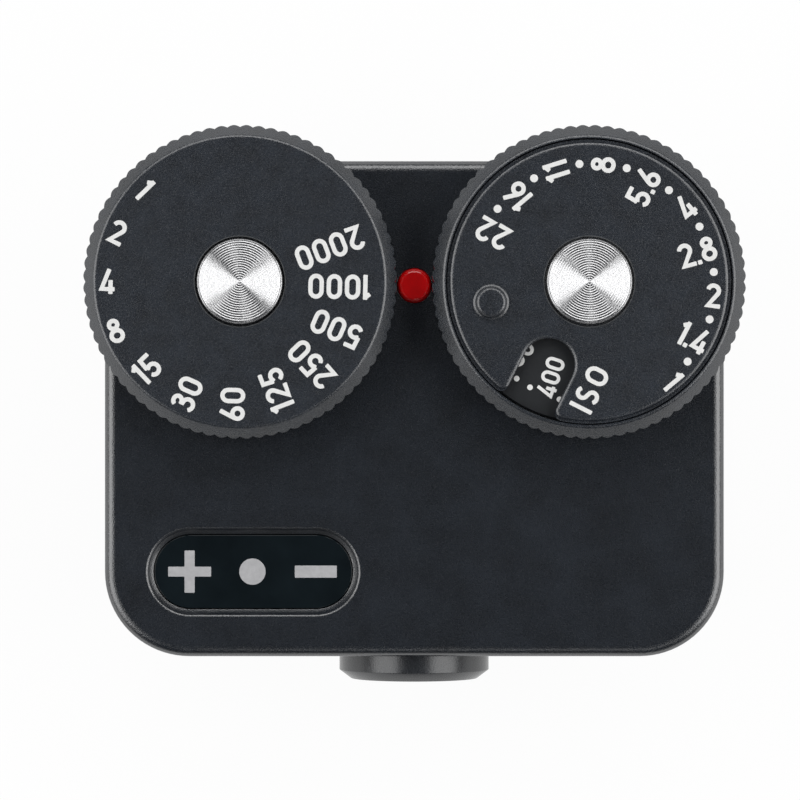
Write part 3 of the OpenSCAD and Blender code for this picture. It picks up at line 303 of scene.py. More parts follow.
def plate(outline, z0, z1):
    """A plate with any outline: a filled circle whose points move to it, drawn up"""
    bpy.ops.object.select_all(action="DESELECT")
    bpy.ops.mesh.primitive_circle_add(vertices=len(outline), radius=1, fill_type="NGON")
    piece = bpy.context.object
    for point, (x, y) in zip(piece.data.vertices, outline):
        point.co = (x, y, z0)
    bpy.ops.object.mode_set(mode="EDIT")
    bpy.ops.mesh.select_all(action="SELECT")
    bpy.ops.mesh.extrude_region_move(TRANSFORM_OT_translate={"value": (0, 0, z1 - z0)})
    bpy.ops.mesh.select_all(action="SELECT")
    bpy.ops.mesh.normals_make_consistent(inside=False)
    bpy.ops.object.mode_set(mode="OBJECT")
    return piece


def slot_block(x, y, length, width, z0, z1):
    """A block with two round ends"""
    half = (length - width) / 2
    r = width / 2
    return plate(arc(x + half, y, r, r, -90, 90, 28) + arc(x - half, y, r, r, 90, 270, 28), z0, z1)


def melt(pieces):
    """Joins loose tools into one object"""
    select_only(*pieces)
    bpy.ops.object.join()
    return bpy.context.object


def carve(piece, tool, how="DIFFERENCE"):
    """Cuts one tool out of a piece, or adds it, and throws the tool away"""
    select_only(piece)
    cut = piece.modifiers.new("cut", "BOOLEAN")
    cut.operation = how
    cut.solver = "EXACT"
    cut.object = tool
    bpy.ops.object.modifier_apply(modifier="cut")
    bpy.data.objects.remove(tool)
    return piece


def settle(piece, name, smooth=30, weighted=True):
    """Names a piece that was drawn in millimetres, shades it and brings it to metres"""
    select_only(piece)
    bpy.ops.object.mode_set(mode="EDIT")
    bpy.ops.mesh.select_all(action="SELECT")
    bpy.ops.mesh.remove_doubles(threshold=0.0004)
    bpy.ops.mesh.dissolve_degenerate(threshold=0.0002)
    bpy.ops.object.mode_set(mode="OBJECT")
    piece.name = name
    piece.data.name = name
    piece.data.transform(Matrix.Scale(MM, 4))
    bpy.ops.object.shade_smooth_by_angle(angle=math.radians(smooth))
    if weighted:
        even = piece.modifiers.new("even", "WEIGHTED_NORMAL")
        even.keep_sharp = True
        bpy.ops.object.modifier_apply(modifier="even")
    return piece


def finish(name, colour, rough, metal=0.0, shine=0.5, spread=0.1, patch=500, grain=9000,
           depth=0.004, stretch=(1, 1, 1), specks=0.3, ior=1.5, clear=0.0):
    """A worked surface: soft patches of colour with specks in them, and a fine grain in gloss
    and height. patch and grain count features in a metre, depth is in millimetres."""
    material = bpy.data.materials.new(name)
    material.use_nodes = True
    surface = material.node_tree.nodes["Principled BSDF"]
    surface.inputs["Metallic"].default_value = metal
    surface.inputs["Specular IOR Level"].default_value = shine
    surface.inputs["IOR"].default_value = ior
    surface.inputs["Transmission Weight"].default_value = clear
    join, (place, aim, clouds, grains, blend, tint, gloss, bump) = add_nodes(
        material, "TexCoord", "Mapping", "TexNoise", "TexNoise", "MixRGB", "ValToRGB", "MapRange", "Bump")
    aim.inputs["Scale"].default_value = stretch
    join(place.outputs["Object"], aim.inputs[0])
    clouds.inputs["Scale"].default_value = patch
    clouds.inputs["Detail"].default_value = 3
    grains.inputs["Scale"].default_value = grain
    grains.inputs["Detail"].default_value = 2
    join(aim.outputs[0], clouds.inputs["Vector"])
    join(aim.outputs[0], grains.inputs["Vector"])
    low, high = tint.color_ramp.elements
    low.position = 0.3
    high.position = 0.7
    low.color = [c * (1 - spread) for c in colour] + [1]
    high.color = [c * (1 + spread) for c in colour] + [1]
    blend.inputs["Fac"].default_value = specks
    join(clouds.outputs[0], blend.inputs["Color1"])
    join(grains.outputs[0], blend.inputs["Color2"])
    join(blend.outputs[0], tint.inputs[0])
    join(tint.outputs[0], surface.inputs["Base Color"])
    set_range(gloss, low.position, high.position, rough * 0.88, rough * 1.12)
    join(grains.outputs[0], gloss.inputs["Value"])
    join(gloss.outputs[0], surface.inputs["Roughness"])
    bump.inputs["Strength"].default_value = 1
    bump.inputs["Distance"].default_value = depth * MM
    join(grains.outputs[0], bump.inputs["Height"])
    join(bump.outputs[0], surface.inputs["Normal"])
    return material


def dress(piece, material):
    """Gives a piece one material on all its faces"""
    piece.data.materials.clear()
    piece.data.materials.append(material)


def second_finish_on(piece, material, test):
    """Gives the faces that pass the test a second material; places are in millimetres"""
    piece.data.materials.append(material)
    for side in piece.data.polygons:
        if test(side.center / MM, side.normal):
            side.material_index = 1


housing = rounded_block(-BODY_W / 2, BODY_W / 2, FRONT_Y, REAR_Y, FLOOR_Z, TOP_Z, CORNER_R, 20)
bevel_edges(housing, lambda a, b: near(a.z, TOP_Z) and near(b.z, TOP_Z), TOP_EDGE_R, 12, 0.574)
bevel_edges(housing, lambda a, b: near(a.z, FLOOR_Z) and near(b.z, FLOOR_Z), LOW_EDGE, 1)
pocket_x = BODY_W / 2 - WALL
carve(housing, rounded_block(
    -pocket_x, pocket_x, FRONT_Y + WALL, REAR_Y - WALL, FLOOR_Z - 1, CEILING_Z, POCKET_R))
carve(housing, rounded_block(
    -pocket_x - LEDGE, pocket_x + LEDGE, FRONT_Y + WALL - LEDGE, REAR_Y - WALL + LEDGE, FLOOR_Z - 1,
    BASE_TOP, POCKET_R + LEDGE))
click_stops = [(s * (DIAL_X - STOP_RING_R), DIAL_Y) for s in (-1, 1)]
carve(housing, melt(
    [rod(x, y, BASE_TOP, CEILING_Z + ROOT, r) for x, y, r in COLUMNS]
    + [rod(x, y, BOARD_TOP, CEILING_Z + ROOT, POST_R) for x, y in POSTS]
    + [rod(x, y, CLICK_BOSS[0], CEILING_Z + ROOT, CLICK_BOSS[1]) for x, y in click_stops]), "UNION")
carve(housing, melt(
    [rod(x, y, BASE_TOP - 1, *COLUMN_BORE) for x, y, r in COLUMNS]
    + [rod(x, y, BOARD_TOP - 1, *POST_BORE) for x, y in POSTS]
    + [rod(x, y, CLICK_BORE[0], TOP_Z + 1, CLICK_BORE[1]) for x, y in click_stops]
    + [rod(s * DIAL_X, DIAL_Y, CEILING_Z - 1, TOP_Z + 1, BUSH_BORE_R, steps=96) for s in (-1, 1)]
    + [rod(CELL_X, CELL_Y, BASE_TOP, *CELL_WELL, steps=96)]))
carve(housing, box(
    CELL_X - CONTACT_SLOT[0], CELL_X, CELL_Y - CONTACT_SLOT[1], CELL_Y + CONTACT_SLOT[1], BOARD_TOP,
    CELL_WELL[0]))
carve(housing, rod(0, JEWEL_Y, TOP_Z - JEWEL_SEAT[0], TOP_Z + 1, JEWEL_SEAT[1], steps=96))
carve(housing, slot_block(
    WINDOW_X, WINDOW_Y, WINDOW_L + WINDOW_GAP, WINDOW_W + WINDOW_GAP, CEILING_Z - 1, TOP_Z + 1))


def round_the_window(reach):
    """Edges of the top face that lie within a reach of the window's outline"""
    def test(a, b):
        inside = all(abs(p.x - WINDOW_X) < WINDOW_L / 2 + reach and abs(p.y - WINDOW_Y) < WINDOW_W / 2 + reach
                     for p in (a, b))
        return inside and near(a.z, TOP_Z) and near(b.z, TOP_Z)
    return test


def round_the_jewel(a, b):
    return all(near(p.z, TOP_Z) and near(math.hypot(p.x, p.y - JEWEL_Y), JEWEL_SEAT[1], 0.01) for p in (a, b))


def round_the_button(a, b):
    return all(near(p.y, REAR_Y) and near(math.hypot(p.x, p.z - BUTTON_Z), BUTTON_BORE_R, 0.01)
               for p in (a, b))


# the window's cut gets a hollow bevel, and then the bevel's outer edge is rounded
bevel_edges(housing, round_the_window(WINDOW_GAP), WINDOW_BEVEL, 3, 0.18)
bevel_edges(housing, round_the_window(WINDOW_BEVEL + 0.19), WINDOW_BEVEL_EDGE, 5)
bevel_edges(housing, round_the_jewel, 0.05, 2)


def across(piece, y, z, turn=-90):
    """Lays a piece that was drawn along +Z round the origin along Y, at a depth and a height"""
    piece.data.transform(Matrix.Translation((0, y, z)) @ Matrix.Rotation(math.radians(turn), 4, "X"))
    return piece


carve(housing, across(rod(0, 0, -1, WALL + 1, SENSOR_BORE_R, steps=96), FRONT_Y, SENSOR_Z))
carve(housing, across(rod(0, 0, -WALL - 1, 1, BUTTON_BORE_R, steps=96), REAR_Y, BUTTON_Z))
bevel_edges(housing, round_the_button, 0.1, 2)
settle(housing, "milled_housing", 25)
blasted_black = finish(
    "bead_blasted_black", (0.0102, 0.0130, 0.0176), 0.28, shine=0.7, spread=0.5, patch=420, grain=12000,
    depth=0.016, specks=0.6)
handled_black = finish(
    "handled_black", (0.0030, 0.0056, 0.0096), 0.25, shine=1.0, spread=0.7, patch=420, grain=12000,
    depth=0.016, specks=0.6, ior=1.72)


def on_top_edge(place, normal):
    """The upper part of the rounded top edge and of the window's bevel, polished by handling"""
    return place.z > TOP_Z - 0.6 and 0.55 < normal.z < 0.9995


dress(housing, blasted_black)
second_finish_on(housing, handled_black, on_top_edge)
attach(housing, "meter_body")
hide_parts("housing")

# Base plate: a flat anodised plate let into the ledge, held by four black cross-head screws.
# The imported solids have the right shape, so they only get their finishes.
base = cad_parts["base_plate"]
dress(base, finish("base_plate_black", (0.011, 0.012, 0.0145), 0.5, shine=0.4, spread=0.2, patch=300))
base_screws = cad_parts["base_screws"]
dress(base_screws, finish(
    "black_oxide", (0.014, 0.014, 0.016), 0.32, shine=0.6, spread=0.3, patch=900, grain=6000))


# Shoe foot: a stainless plate on a narrow neck, with four countersunk screws. Plate and neck
# are brushed along the way they slide into the shoe, and the plate's edges are broken.
FOOT_W = 18.6
FOOT_L = 18
FOOT_T = 2
NECK_W = 12.3
NECK_L = 17
FOOT_SCREWS = [(sx * 3.8, sy * 5.5) for sx in (-1, 1) for sy in (-1, 1)]
FOOT_BORE_R = 1.02
SCREW_HEAD_R = 2.04


def foot_bores(z0, z1, r=FOOT_BORE_R):
    return melt([rod(x, y, z0, z1, r, FOOT_BORE_R, 48) for x, y in FOOT_SCREWS])


foot = rounded_block(-FOOT_W / 2, FOOT_W / 2, -FOOT_L / 2, FOOT_L / 2, 0, FOOT_T, 1, 8)
bevel_edges(foot, lambda a, b: near(a.z, b.z), 0.22, 4)
carve(foot, foot_bores(-1, FOOT_T + 1))
carve(foot, foot_bores(-0.02, 1, SCREW_HEAD_R))
settle(foot, "foot_plate")
brushed_steel = finish(
    "foot_brushed_steel", (0.52, 0.52, 0.53), 0.3, metal=1.0, spread=0.12, patch=600,
    depth=0.0025, stretch=(1, 0.03, 1))
dress(foot, brushed_steel)
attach(foot, "meter_body")
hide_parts("shoe_foot_plate")

neck = rounded_block(-NECK_W / 2, NECK_W / 2, -NECK_L / 2, NECK_L / 2, FOOT_T, FLOOR_Z, 1, 8)
bevel_edges(neck, lambda a, b: near(a.z, b.z), 0.08, 2)
carve(neck, foot_bores(FOOT_T - 1, FLOOR_Z + 1.3))
settle(neck, "foot_neck")
dress(neck, brushed_steel)
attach(neck, "meter_body")
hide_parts("shoe_foot_neck")

foot_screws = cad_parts["foot_screws"]
dress(foot_screws, finish(
    "foot_screw_steel", (0.4, 0.4, 0.41), 0.28, metal=1.0, spread=0.15, patch=800, grain=7000))

# Display window: smoked acrylic, polished, set a little below the top face inside the bevel.
GLASS_PLAY = 0.04
GLASS_Z = 15.9
GLASS_TOP = 17.7
GLASS_FLANGE = 1.5
glass = slot_block(WINDOW_X, WINDOW_Y, WINDOW_L - GLASS_PLAY, WINDOW_W - GLASS_PLAY, GLASS_Z, GLASS_TOP)
bevel_edges(glass, lambda a, b: near(a.z, GLASS_TOP) and near(b.z, GLASS_TOP), 0.06, 3)
carve(glass, slot_block(
    WINDOW_X, WINDOW_Y, WINDOW_L + GLASS_FLANGE, WINDOW_W + GLASS_FLANGE, GLASS_Z, CEILING_Z), "UNION")
settle(glass, "smoked_window")
dress(glass, finish(
    "smoked_acrylic", (0.0052, 0.0085, 0.0105), 0.07, shine=0.45, spread=0.3, patch=260, grain=700,
    depth=0.0006))
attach(glass, "meter_body")
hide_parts("window_glass")


# Symbols: a plus, a dot and a minus, satin grey diffusers flush with the window, each over
# its own lamp.
PLUS_X = -15.96
DOT_X = -11.5
MINUS_X = -7
MARKS_Z = 17.56
MARKS_TOP = 17.712


def bar(x, half_w, half_d):
    return box(x - half_w, x + half_w, WINDOW_Y - half_d, WINDOW_Y + half_d, MARKS_Z, MARKS_TOP)


plus = carve(bar(PLUS_X, 1.525, 0.35), bar(PLUS_X, 0.36, 1.5), "UNION")
dot = rod(DOT_X, WINDOW_Y, MARKS_Z, MARKS_TOP, 0.935, steps=64)
symbols = melt([plus, dot, bar(MINUS_X, 1.49, 0.43)])
bevel_edges(symbols, upright, 0.05, 3)
settle(symbols, "window_marks")
dress(symbols, finish(
    "satin_diffuser", (0.39, 0.39, 0.4), 0.55, shine=0.4, spread=0.1, patch=2500, depth=0.006))
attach(symbols, "meter_body")
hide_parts("window_symbols")


# Index mark: a red resin jewel pressed into its seat. Its flat top has a polished round edge
# that mirrors the boxes, and its side falls steeply to the body.
def turned(section, x, y, steps=128):
    """Spins a closed section, given as radius and height, round an upright axis"""
    bpy.ops.object.select_all(action="DESELECT")
    bpy.ops.mesh.primitive_circle_add(vertices=len(section), radius=1, fill_type="NOTHING")
    piece = bpy.context.object
    for point, (r, z) in zip(piece.data.vertices, section):
        point.co = (x + r, y, z)
    bpy.ops.object.mode_set(mode="EDIT")
    bpy.ops.mesh.select_all(action="SELECT")
    bpy.ops.mesh.spin(steps=steps, angle=math.tau, center=(x, y, 0), axis=(0, 0, 1))
    bpy.ops.mesh.select_all(action="SELECT")
    bpy.ops.mesh.remove_doubles(threshold=0.0003)
    bpy.ops.mesh.dissolve_degenerate(threshold=0.0001)
    bpy.ops.mesh.normals_make_consistent(inside=False)
    bpy.ops.object.mode_set(mode="OBJECT")
    return piece


def corner(r, z, radius, first, last, steps=4):
    """Points of a rounded corner: an arc round a centre, between two angles in degrees"""
    return [(r + radius * math.cos(math.radians(first + (last - first) * i / steps)),
             z + radius * math.sin(math.radians(first + (last - first) * i / steps)))
            for i in range(steps + 1)]


JEWEL_R = 1.22
JEWEL_TOP = TOP_Z + 0.38
JEWEL_EDGE = 0.3
jewel = turned(
    [(0, TOP_Z - JEWEL_SEAT[0]), (JEWEL_R, TOP_Z - JEWEL_SEAT[0]), (JEWEL_R, TOP_Z)]
    + corner(JEWEL_R - 0.36, JEWEL_TOP - JEWEL_EDGE, JEWEL_EDGE, 15, 90, 8)
    + [(JEWEL_R - 0.42, JEWEL_TOP), (0, JEWEL_TOP)], 0, JEWEL_Y, 96)
settle(jewel, "index_bead", 50)
dress(jewel, finish(
    "red_resin", (0.96, 0.003, 0.004), 0.1, shine=0.8, spread=0.12, patch=900, grain=1500, depth=0.0004))
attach(jewel, "meter_body")
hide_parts("index_jewel")

# Shutter dial: turned from black anodised aluminium with a round-lobed knurl. The bevel cuts
# the lobes to scallops, and the rim rounds over to the flat top.
DIAL_R = 11
DIAL_Z = 18.4
DIAL_TOP = 22.6
TOP_R = 10.18
KNURLS = 76
KNURL_DEPTH = 0.16
CUP_Z = 20.6
CAVITY_Z = 19.35
SEAT_Z = 21.4
CAP_SEAT_R = 3.15
SEAT_EDGE = 0.07
SHAFT_R = 1.52
COLLAR_R = 1.92
RIM_ROUND = 0.34
BLANK_R = 11.9
CLICKS = 16
LOBE_STEPS = 8
TURNED_STEPS = 4 * KNURLS


def knurled_rod(x, y):
    """A rod with round lobes and sharp valleys between them"""
    knurl = rod(x, y, DIAL_Z - 1, DIAL_TOP + 1, DIAL_R, steps=KNURLS * LOBE_STEPS)
    for point in knurl.data.vertices:
        across_x = point.co.x - x
        across_y = point.co.y - y
        far = math.hypot(across_x, across_y)
        step = math.atan2(across_y, across_x) / math.tau * KNURLS * LOBE_STEPS
        drop = KNURL_DEPTH * (1 - abs(math.sin(math.pi * round(step) / LOBE_STEPS)))
        point.co.x = x + across_x / far * (DIAL_R - drop)
        point.co.y = y + across_y / far * (DIAL_R - drop)
    return knurl


def rim_and_underside(top_points):
    """The dial's section from the top of its rim, out past the knurl, down and back in over
    the click ring's groove and the cavity to the shaft hole"""
    return (
        top_points
        + corner(TOP_R - 0.13, DIAL_TOP - RIM_ROUND, RIM_ROUND, 90, 45, 8)
        + [(BLANK_R, DIAL_TOP - 1.71), (BLANK_R, DIAL_Z + 1.25), (10.65, DIAL_Z)]
        + [(STOP_RING_R + 0.6, DIAL_Z), (STOP_RING_R + 0.6, DIAL_Z + 0.25)]
        + [(STOP_RING_R - 0.6, DIAL_Z + 0.25), (STOP_RING_R - 0.6, DIAL_Z)]
        + [(5.2, DIAL_Z), (5.2, CAVITY_Z), (SHAFT_R, CAVITY_Z)])


def click_dimples(x, y):
    """A ring of blunt cones, one for each click of the dial"""
    dimples = []
    for i in range(CLICKS):
        turn = math.tau * i / CLICKS
        dimples.append(rod(
            x + STOP_RING_R * math.cos(turn), y + STOP_RING_R * math.sin(turn), DIAL_Z + 0.2, DIAL_Z + 0.45,
            0.4, 0.25, 16))
    return melt(dimples)


shutter_dial = turned(
    rim_and_underside([(SHAFT_R, CUP_Z), (COLLAR_R, CUP_Z), (COLLAR_R, SEAT_Z), (CAP_SEAT_R, SEAT_Z),
                       (CAP_SEAT_R, DIAL_TOP - SEAT_EDGE), (CAP_SEAT_R + SEAT_EDGE, DIAL_TOP)]),
    -DIAL_X, DIAL_Y, TURNED_STEPS)
carve(shutter_dial, knurled_rod(-DIAL_X, DIAL_Y), "INTERSECT")
carve(shutter_dial, click_dimples(-DIAL_X, DIAL_Y))
settle(shutter_dial, "shutter_ring")


def on_cap_seat(x):
    """The broken edge of the seat that a dial's cap sits in, which gets a painted highlight"""
    def test(place, normal):
        far = math.hypot(place.x - x, place.y - DIAL_Y)
        return place.z > DIAL_TOP - 0.16 and normal.z < 0.995 and 3.1 < far < 3.3
    return test


satin_black = finish(
    "satin_black", (0.0112, 0.0148, 0.0208), 0.27, shine=1.0, spread=0.6, patch=700, grain=12000,
    depth=0.018, specks=0.6, ior=1.6)
# A light grey painted on the broken edge of each cap seat: a painted highlight for the bright line this edge
# shows round the cap
seat_edge_highlight_paint = finish(
    "seat_edge_painted_highlight", (0.1, 0.105, 0.11), 0.3, shine=0.7, spread=0.4, patch=1500, grain=12000)
dress(shutter_dial, satin_black)
# the cap seat's edge gets the painted highlight
second_finish_on(shutter_dial, seat_edge_highlight_paint, on_cap_seat(-DIAL_X))
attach(shutter_dial, "shutter")
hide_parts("shutter_dial")


# Shutter numbers: the times from 1 second to 1/2000, in white paint. They read from the rim
# inwards, and their ring is set a little off the dial's axis, as on the real one.
def track_shape(x, half_w, low, high):
    """A closed upright track with round ends"""
    return (arc(x, high, half_w, half_w * 1.05, 0, 180, 12) + arc(x, low, half_w, half_w * 1.05, 180, 360, 12)
            + [(x + half_w, high)])


# each sign is its width and its strokes, drawn on a height of 1
SIGNS = {
    "0": (0.62, [track_shape(0.31, 0.2225, 0.32, 0.68)]),
    "1": (0.345, [[(0.07, 0.765), (0.26, 0.905)], [(0.258, 0), (0.258, 1)]]),
    "2": (0.62, [arc(0.30, 0.70, 0.2175, 0.2125, 168, -32, 12) + [(0.085, 0.09), (0.62, 0.09)]]),
    "3": (0.59, [arc(0.285, 0.745, 0.185, 0.1675, 160, -90, 12) + [(0.19, 0.5775)],
                 [(0.19, 0.525)] + arc(0.285, 0.305, 0.2175, 0.2175, 90, -158, 12)]),
    "4": (0.63, [[(0.415, 1), (0.10, 0.195), (0.635, 0.195)], [(0.47, 0), (0.47, 0.56)]]),
    "5": (0.60, [[(0.545, 0.9125), (0.125, 0.9125), (0.098, 0.46)],
                 [(0.10, 0.475)] + arc(0.295, 0.31, 0.2175, 0.2225, 128, -155, 12)]),
    "6": (0.59, [arc(0.295, 0.295, 0.2075, 0.2075, 0, 360, 20), [(0.405, 1), (0.105, 0.40)]]),
    "8": (0.63, [arc(0.315, 0.755, 0.17, 0.1575, 0, 360, 18), arc(0.315, 0.30, 0.2275, 0.2125, 0, 360, 20)]),
    ".": (0.175, [[(0.0875, 0), (0.0875, 0.175)]]),
    "I": (0.175, [[(0.0875, 0), (0.0875, 1)]]),
    "S": (0.60, [arc(0.30, 0.715, 0.2, 0.2, 35, 255, 10) + arc(0.30, 0.29, 0.2125, 0.2025, 80, -150, 10)]),
    "O": (0.70, [track_shape(0.35, 0.2625, 0.38, 0.62)]),
}
STROKE = 0.175
SIGN_GAP = 0.11
POINT_TUCK = 0.055
PAINT_T = 0.012
PAINT_SINK = 0.04
DOT_STEPS = 24


def ribbon(points, width):
    """Left and right edges of one stroke, with mitred bends and chamfered ends"""
    closed = (Vector(points[0]) - Vector(points[-1])).length < 0.001
    path = [Vector(p) for p in points]
    if closed:
        path = path[:-1]
    count = len(path)
    left, right = [], []
    for i, here in enumerate(path):
        before = path[i - 1] if i or closed else None
        after = path[(i + 1) % count] if i < count - 1 or closed else None
        into = (here - before).normalized() if before else (after - here).normalized()
        onward = (after - here).normalized() if after else into
        side = Vector((-into.y - onward.y, into.x + onward.x)).normalized()
        reach = width / 2 / max(0.35, side.dot(Vector((-onward.y, onward.x))))
        blunt = min(reach, width * 0.72)
        turns_left = into.x * onward.y > into.y * onward.x
        if before is None or after is None:
            way = onward if before is None else -into
            left.append(here + side * reach * 0.72)
            right.append(here - side * reach * 0.72)
            left.append(here + way * width * 0.13 + side * reach)
            right.append(here + way * width * 0.13 - side * reach)
            if after is None:
                left[-2:] = left[:-3:-1]
                right[-2:] = right[:-3:-1]
        else:
            left.append(here + side * (reach if turns_left else blunt))
            right.append(here - side * (blunt if turns_left else reach))
    return left, right, closed


def sign_mesh(text, height, end_at, from_right, turn):
    """The first or the second stroke of each sign in a line on the X axis, middle of the height
    at Y 0. The line starts at end_at, or ends there."""
    width = sum(SIGNS[c][0] for c in text) + SIGN_GAP * (len(text) - 1) - 2 * POINT_TUCK * text.count(".")
    at = end_at / height - (width if from_right else 0)
    points, faces = [], []
    for c in text:
        tuck = POINT_TUCK if c == "." else 0
        at -= tuck
        for stroke in SIGNS[c][1][turn:turn + 1]:
            left, right, closed = ribbon(stroke, STROKE)
            first = len(points)
            for a, b in zip(left, right):
                points.append(((at + a.x) * height, (a.y - 0.5) * height, 0))
                points.append(((at + b.x) * height, (b.y - 0.5) * height, 0))
            count = len(left)
            for i in range(count if closed else count - 1):
                j = (i + 1) % count
                faces.append((first + 2 * i, first + 2 * i + 1, first + 2 * j + 1, first + 2 * j))
        at += SIGNS[c][0] + SIGN_GAP - tuck
    return points, faces


def paint_coat(name, points, faces):
    """A flat mesh given the thickness of a coat of paint"""
    mesh = bpy.data.meshes.new(name)
    mesh.from_pydata(points, [], faces)
    piece = bpy.data.objects.new(name, mesh)
    scene.collection.objects.link(piece)
    select_only(piece)
    bpy.ops.object.mode_set(mode="EDIT")
    bpy.ops.mesh.select_all(action="SELECT")
    bpy.ops.mesh.extrude_region_move(TRANSFORM_OT_translate={"value": (0, 0, -PAINT_SINK)})
    bpy.ops.mesh.select_all(action="SELECT")
    bpy.ops.mesh.normals_make_consistent(inside=False)
    bpy.ops.object.mode_set(mode="OBJECT")
    return piece


def print_signs(name, lines, dots, top):
    """Prints lines of signs and round dots as one thin coat of paint. Each line is text, height,
    place in plan, heading in degrees, where its end lies and which end that is."""
    coats = []
    for turn in (0, 1):
        points, faces = [], []
        for text, height, x, y, heading, end_at, from_right in lines:
            some, more = sign_mesh(text, height, end_at, from_right, turn)
            swing = Matrix.Rotation(math.radians(heading), 4, "Z")
            first = len(points)
            points += [tuple(Vector((x, y, top + PAINT_T)) + swing @ Vector(p)) for p in some]
            faces += [tuple(first + i for i in face) for face in more]
        for x, y, r in dots if turn == 0 else ():
            first = len(points)
            ring = arc(x, y, r, r, 0, 360, DOT_STEPS)[:-1]
            points += [(px, py, top + PAINT_T) for px, py in ring]
            faces.append(tuple(range(first, first + DOT_STEPS)))
        coats.append(paint_coat(name, points, faces))
    carve(coats[0], coats[1], "UNION")
    return settle(coats[0], name, 30, False)


CLICK = 360 / CLICKS
SIGN_H = 1.75
SHUTTER_RING = (-DIAL_X - 0.31, DIAL_Y - 0.2)
SHUTTER_RING_R = 9.54
FIRST_TIME = 133.7
SHUTTER_TIMES = ("1", "2", "4", "8", "15", "30", "60", "125", "250", "500", "1000", "2000")
shutter_lines = [
    (time, SIGN_H, *SHUTTER_RING, FIRST_TIME + CLICK * i + 180, -SHUTTER_RING_R, False)
    for i, time in enumerate(SHUTTER_TIMES)]
shutter_signs = print_signs("shutter_signs", shutter_lines, [], DIAL_TOP)
white_paint = finish(
    "white_paint", (0.76, 0.76, 0.75), 0.5, shine=0.35, spread=0.05, patch=1500, grain=8000, depth=0.003)
dress(shutter_signs, white_paint)
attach(shutter_signs, "shutter")

# Centre caps: spun aluminium discs in the middle of both dials, with fine rings left by the
# tool. They cover the screws that hold the dials to their shafts.
CAP_R = 2.98
CAP_TOP = 23
RINGS = 17
RING_POINTS = 6
GROOVE_DEPTH = 0.04
FACE_SEAT_Z = 22.35
COLLAR_TOP = 22.04


def spun_cap(x, foot_points):
    """A cap on a dial, its face cut in shallow rings"""
    pitch = (CAP_R - 0.14) / RINGS
    face = []
    for i in range(RING_POINTS * RINGS, 0, -1):
        wave = (1 + math.cos(math.tau * i / RING_POINTS)) / 2
        face.append((pitch * i / RING_POINTS, CAP_TOP - GROOVE_DEPTH * wave))
    return turned(
        foot_points + [(CAP_R, CAP_TOP - 0.16)] + corner(CAP_R - 0.12, CAP_TOP - 0.14, 0.12, 10, 70, 3)
        + face + [(0, CAP_TOP - GROOVE_DEPTH)], x, DIAL_Y, 256)


def spun_finish(name, x, y):
    """Bright turned aluminium, its gloss drawn out along the radius by the tool's rings"""
    material = finish(
        name, (0.67, 0.67, 0.675), 0.26, metal=1.0, spread=0.05, patch=900, grain=5000, depth=0.0)
    surface = material.node_tree.nodes["Principled BSDF"]
    surface.inputs["Anisotropic"].default_value = 0.85
    join, (place, from_axis, outward) = add_nodes(
        material, "TexCoord", "Mapping", "VectorTransform")
    from_axis.inputs["Location"].default_value = (-x * MM, -y * MM, 0)
    from_axis.inputs["Scale"].default_value = (1, 1, 0)
    outward.vector_type = "VECTOR"
    outward.convert_from = "OBJECT"
    outward.convert_to = "WORLD"
    join(place.outputs["Object"], from_axis.inputs[0])
    join(from_axis.outputs[0], outward.inputs[0])
    join(outward.outputs[0], surface.inputs["Tangent"])
    return material


shutter_cap = spun_cap(-DIAL_X, [(0, SEAT_Z), (CAP_R, SEAT_Z)])
settle(shutter_cap, "shutter_disc", 40)
dress(shutter_cap, spun_finish("shutter_spun_alloy", -DIAL_X, DIAL_Y))
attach(shutter_cap, "shutter")
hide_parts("shutter_cap")

aperture_cap = spun_cap(
    DIAL_X, [(0, COLLAR_TOP), (1.9, COLLAR_TOP), (1.9, FACE_SEAT_Z), (CAP_R, FACE_SEAT_Z)])
settle(aperture_cap, "aperture_disc", 40)
dress(aperture_cap, spun_finish("aperture_spun_alloy", DIAL_X, DIAL_Y))
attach(aperture_cap, "aperture")
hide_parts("aperture_cap")

# Aperture ring: the knurled cup of the right-hand dial, turned from black anodised aluminium.
# Its rim rounds over from the bore of the cup to the bevel, with no flat between.
CUP_R = 10.02
aperture_ring = turned(
    rim_and_underside([(SHAFT_R, CUP_Z), (CUP_R, CUP_Z), (CUP_R, DIAL_TOP - 0.04)]),
    DIAL_X, DIAL_Y, TURNED_STEPS)
carve(aperture_ring, knurled_rod(DIAL_X, DIAL_Y), "INTERSECT")
carve(aperture_ring, click_dimples(DIAL_X, DIAL_Y))
settle(aperture_ring, "aperture_cup")
dress(aperture_ring, satin_black)
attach(aperture_ring, "aperture")
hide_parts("aperture_ring")

# Film speed disc: a black disc in the cup that shows through the window of the numbered face.
# Its speeds are painted one click stop apart, with dots for the steps between.
SPEED_TOP = 21.65
SPEED_DISC_R = 9.9
SPEED_BORE_R = 2.62
speed_disc = turned(
    [(SPEED_BORE_R, CUP_Z), (SPEED_DISC_R, CUP_Z), (SPEED_DISC_R, SPEED_TOP - 0.08),
     (SPEED_DISC_R - 0.08, SPEED_TOP), (SPEED_BORE_R, SPEED_TOP)],
    DIAL_X, DIAL_Y, 192)
settle(speed_disc, "speed_disc")
dress(speed_disc, finish(
    "speed_disc_black", (0.011, 0.0125, 0.0145), 0.5, shine=0.35, spread=0.15, patch=700))
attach(speed_disc, "aperture")
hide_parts("film_speed_disc")


# Numbered face: a thin disc that turns against the cup to set the film speed. It has a window
# to the film speed disc, rounded edges, and a wider skirt below that closes the gap to the cup.
FACE_R = 9.76
FACE_Z = 21.8
FACE_T = DIAL_TOP - FACE_Z
FACE_EDGE = 0.3
FACE_BORE_R = 2.64
FACE_SEAT_FLOOR = 22.15
SKIRT_R = 9.94
SKIRT_PLAY = 0.01
SKIRT_TOP = 0.575
NOTCH_ANGLE = 243.8
NOTCH_AT = 6.46
NOTCH_R = 1.83
LIP_R = 0.5


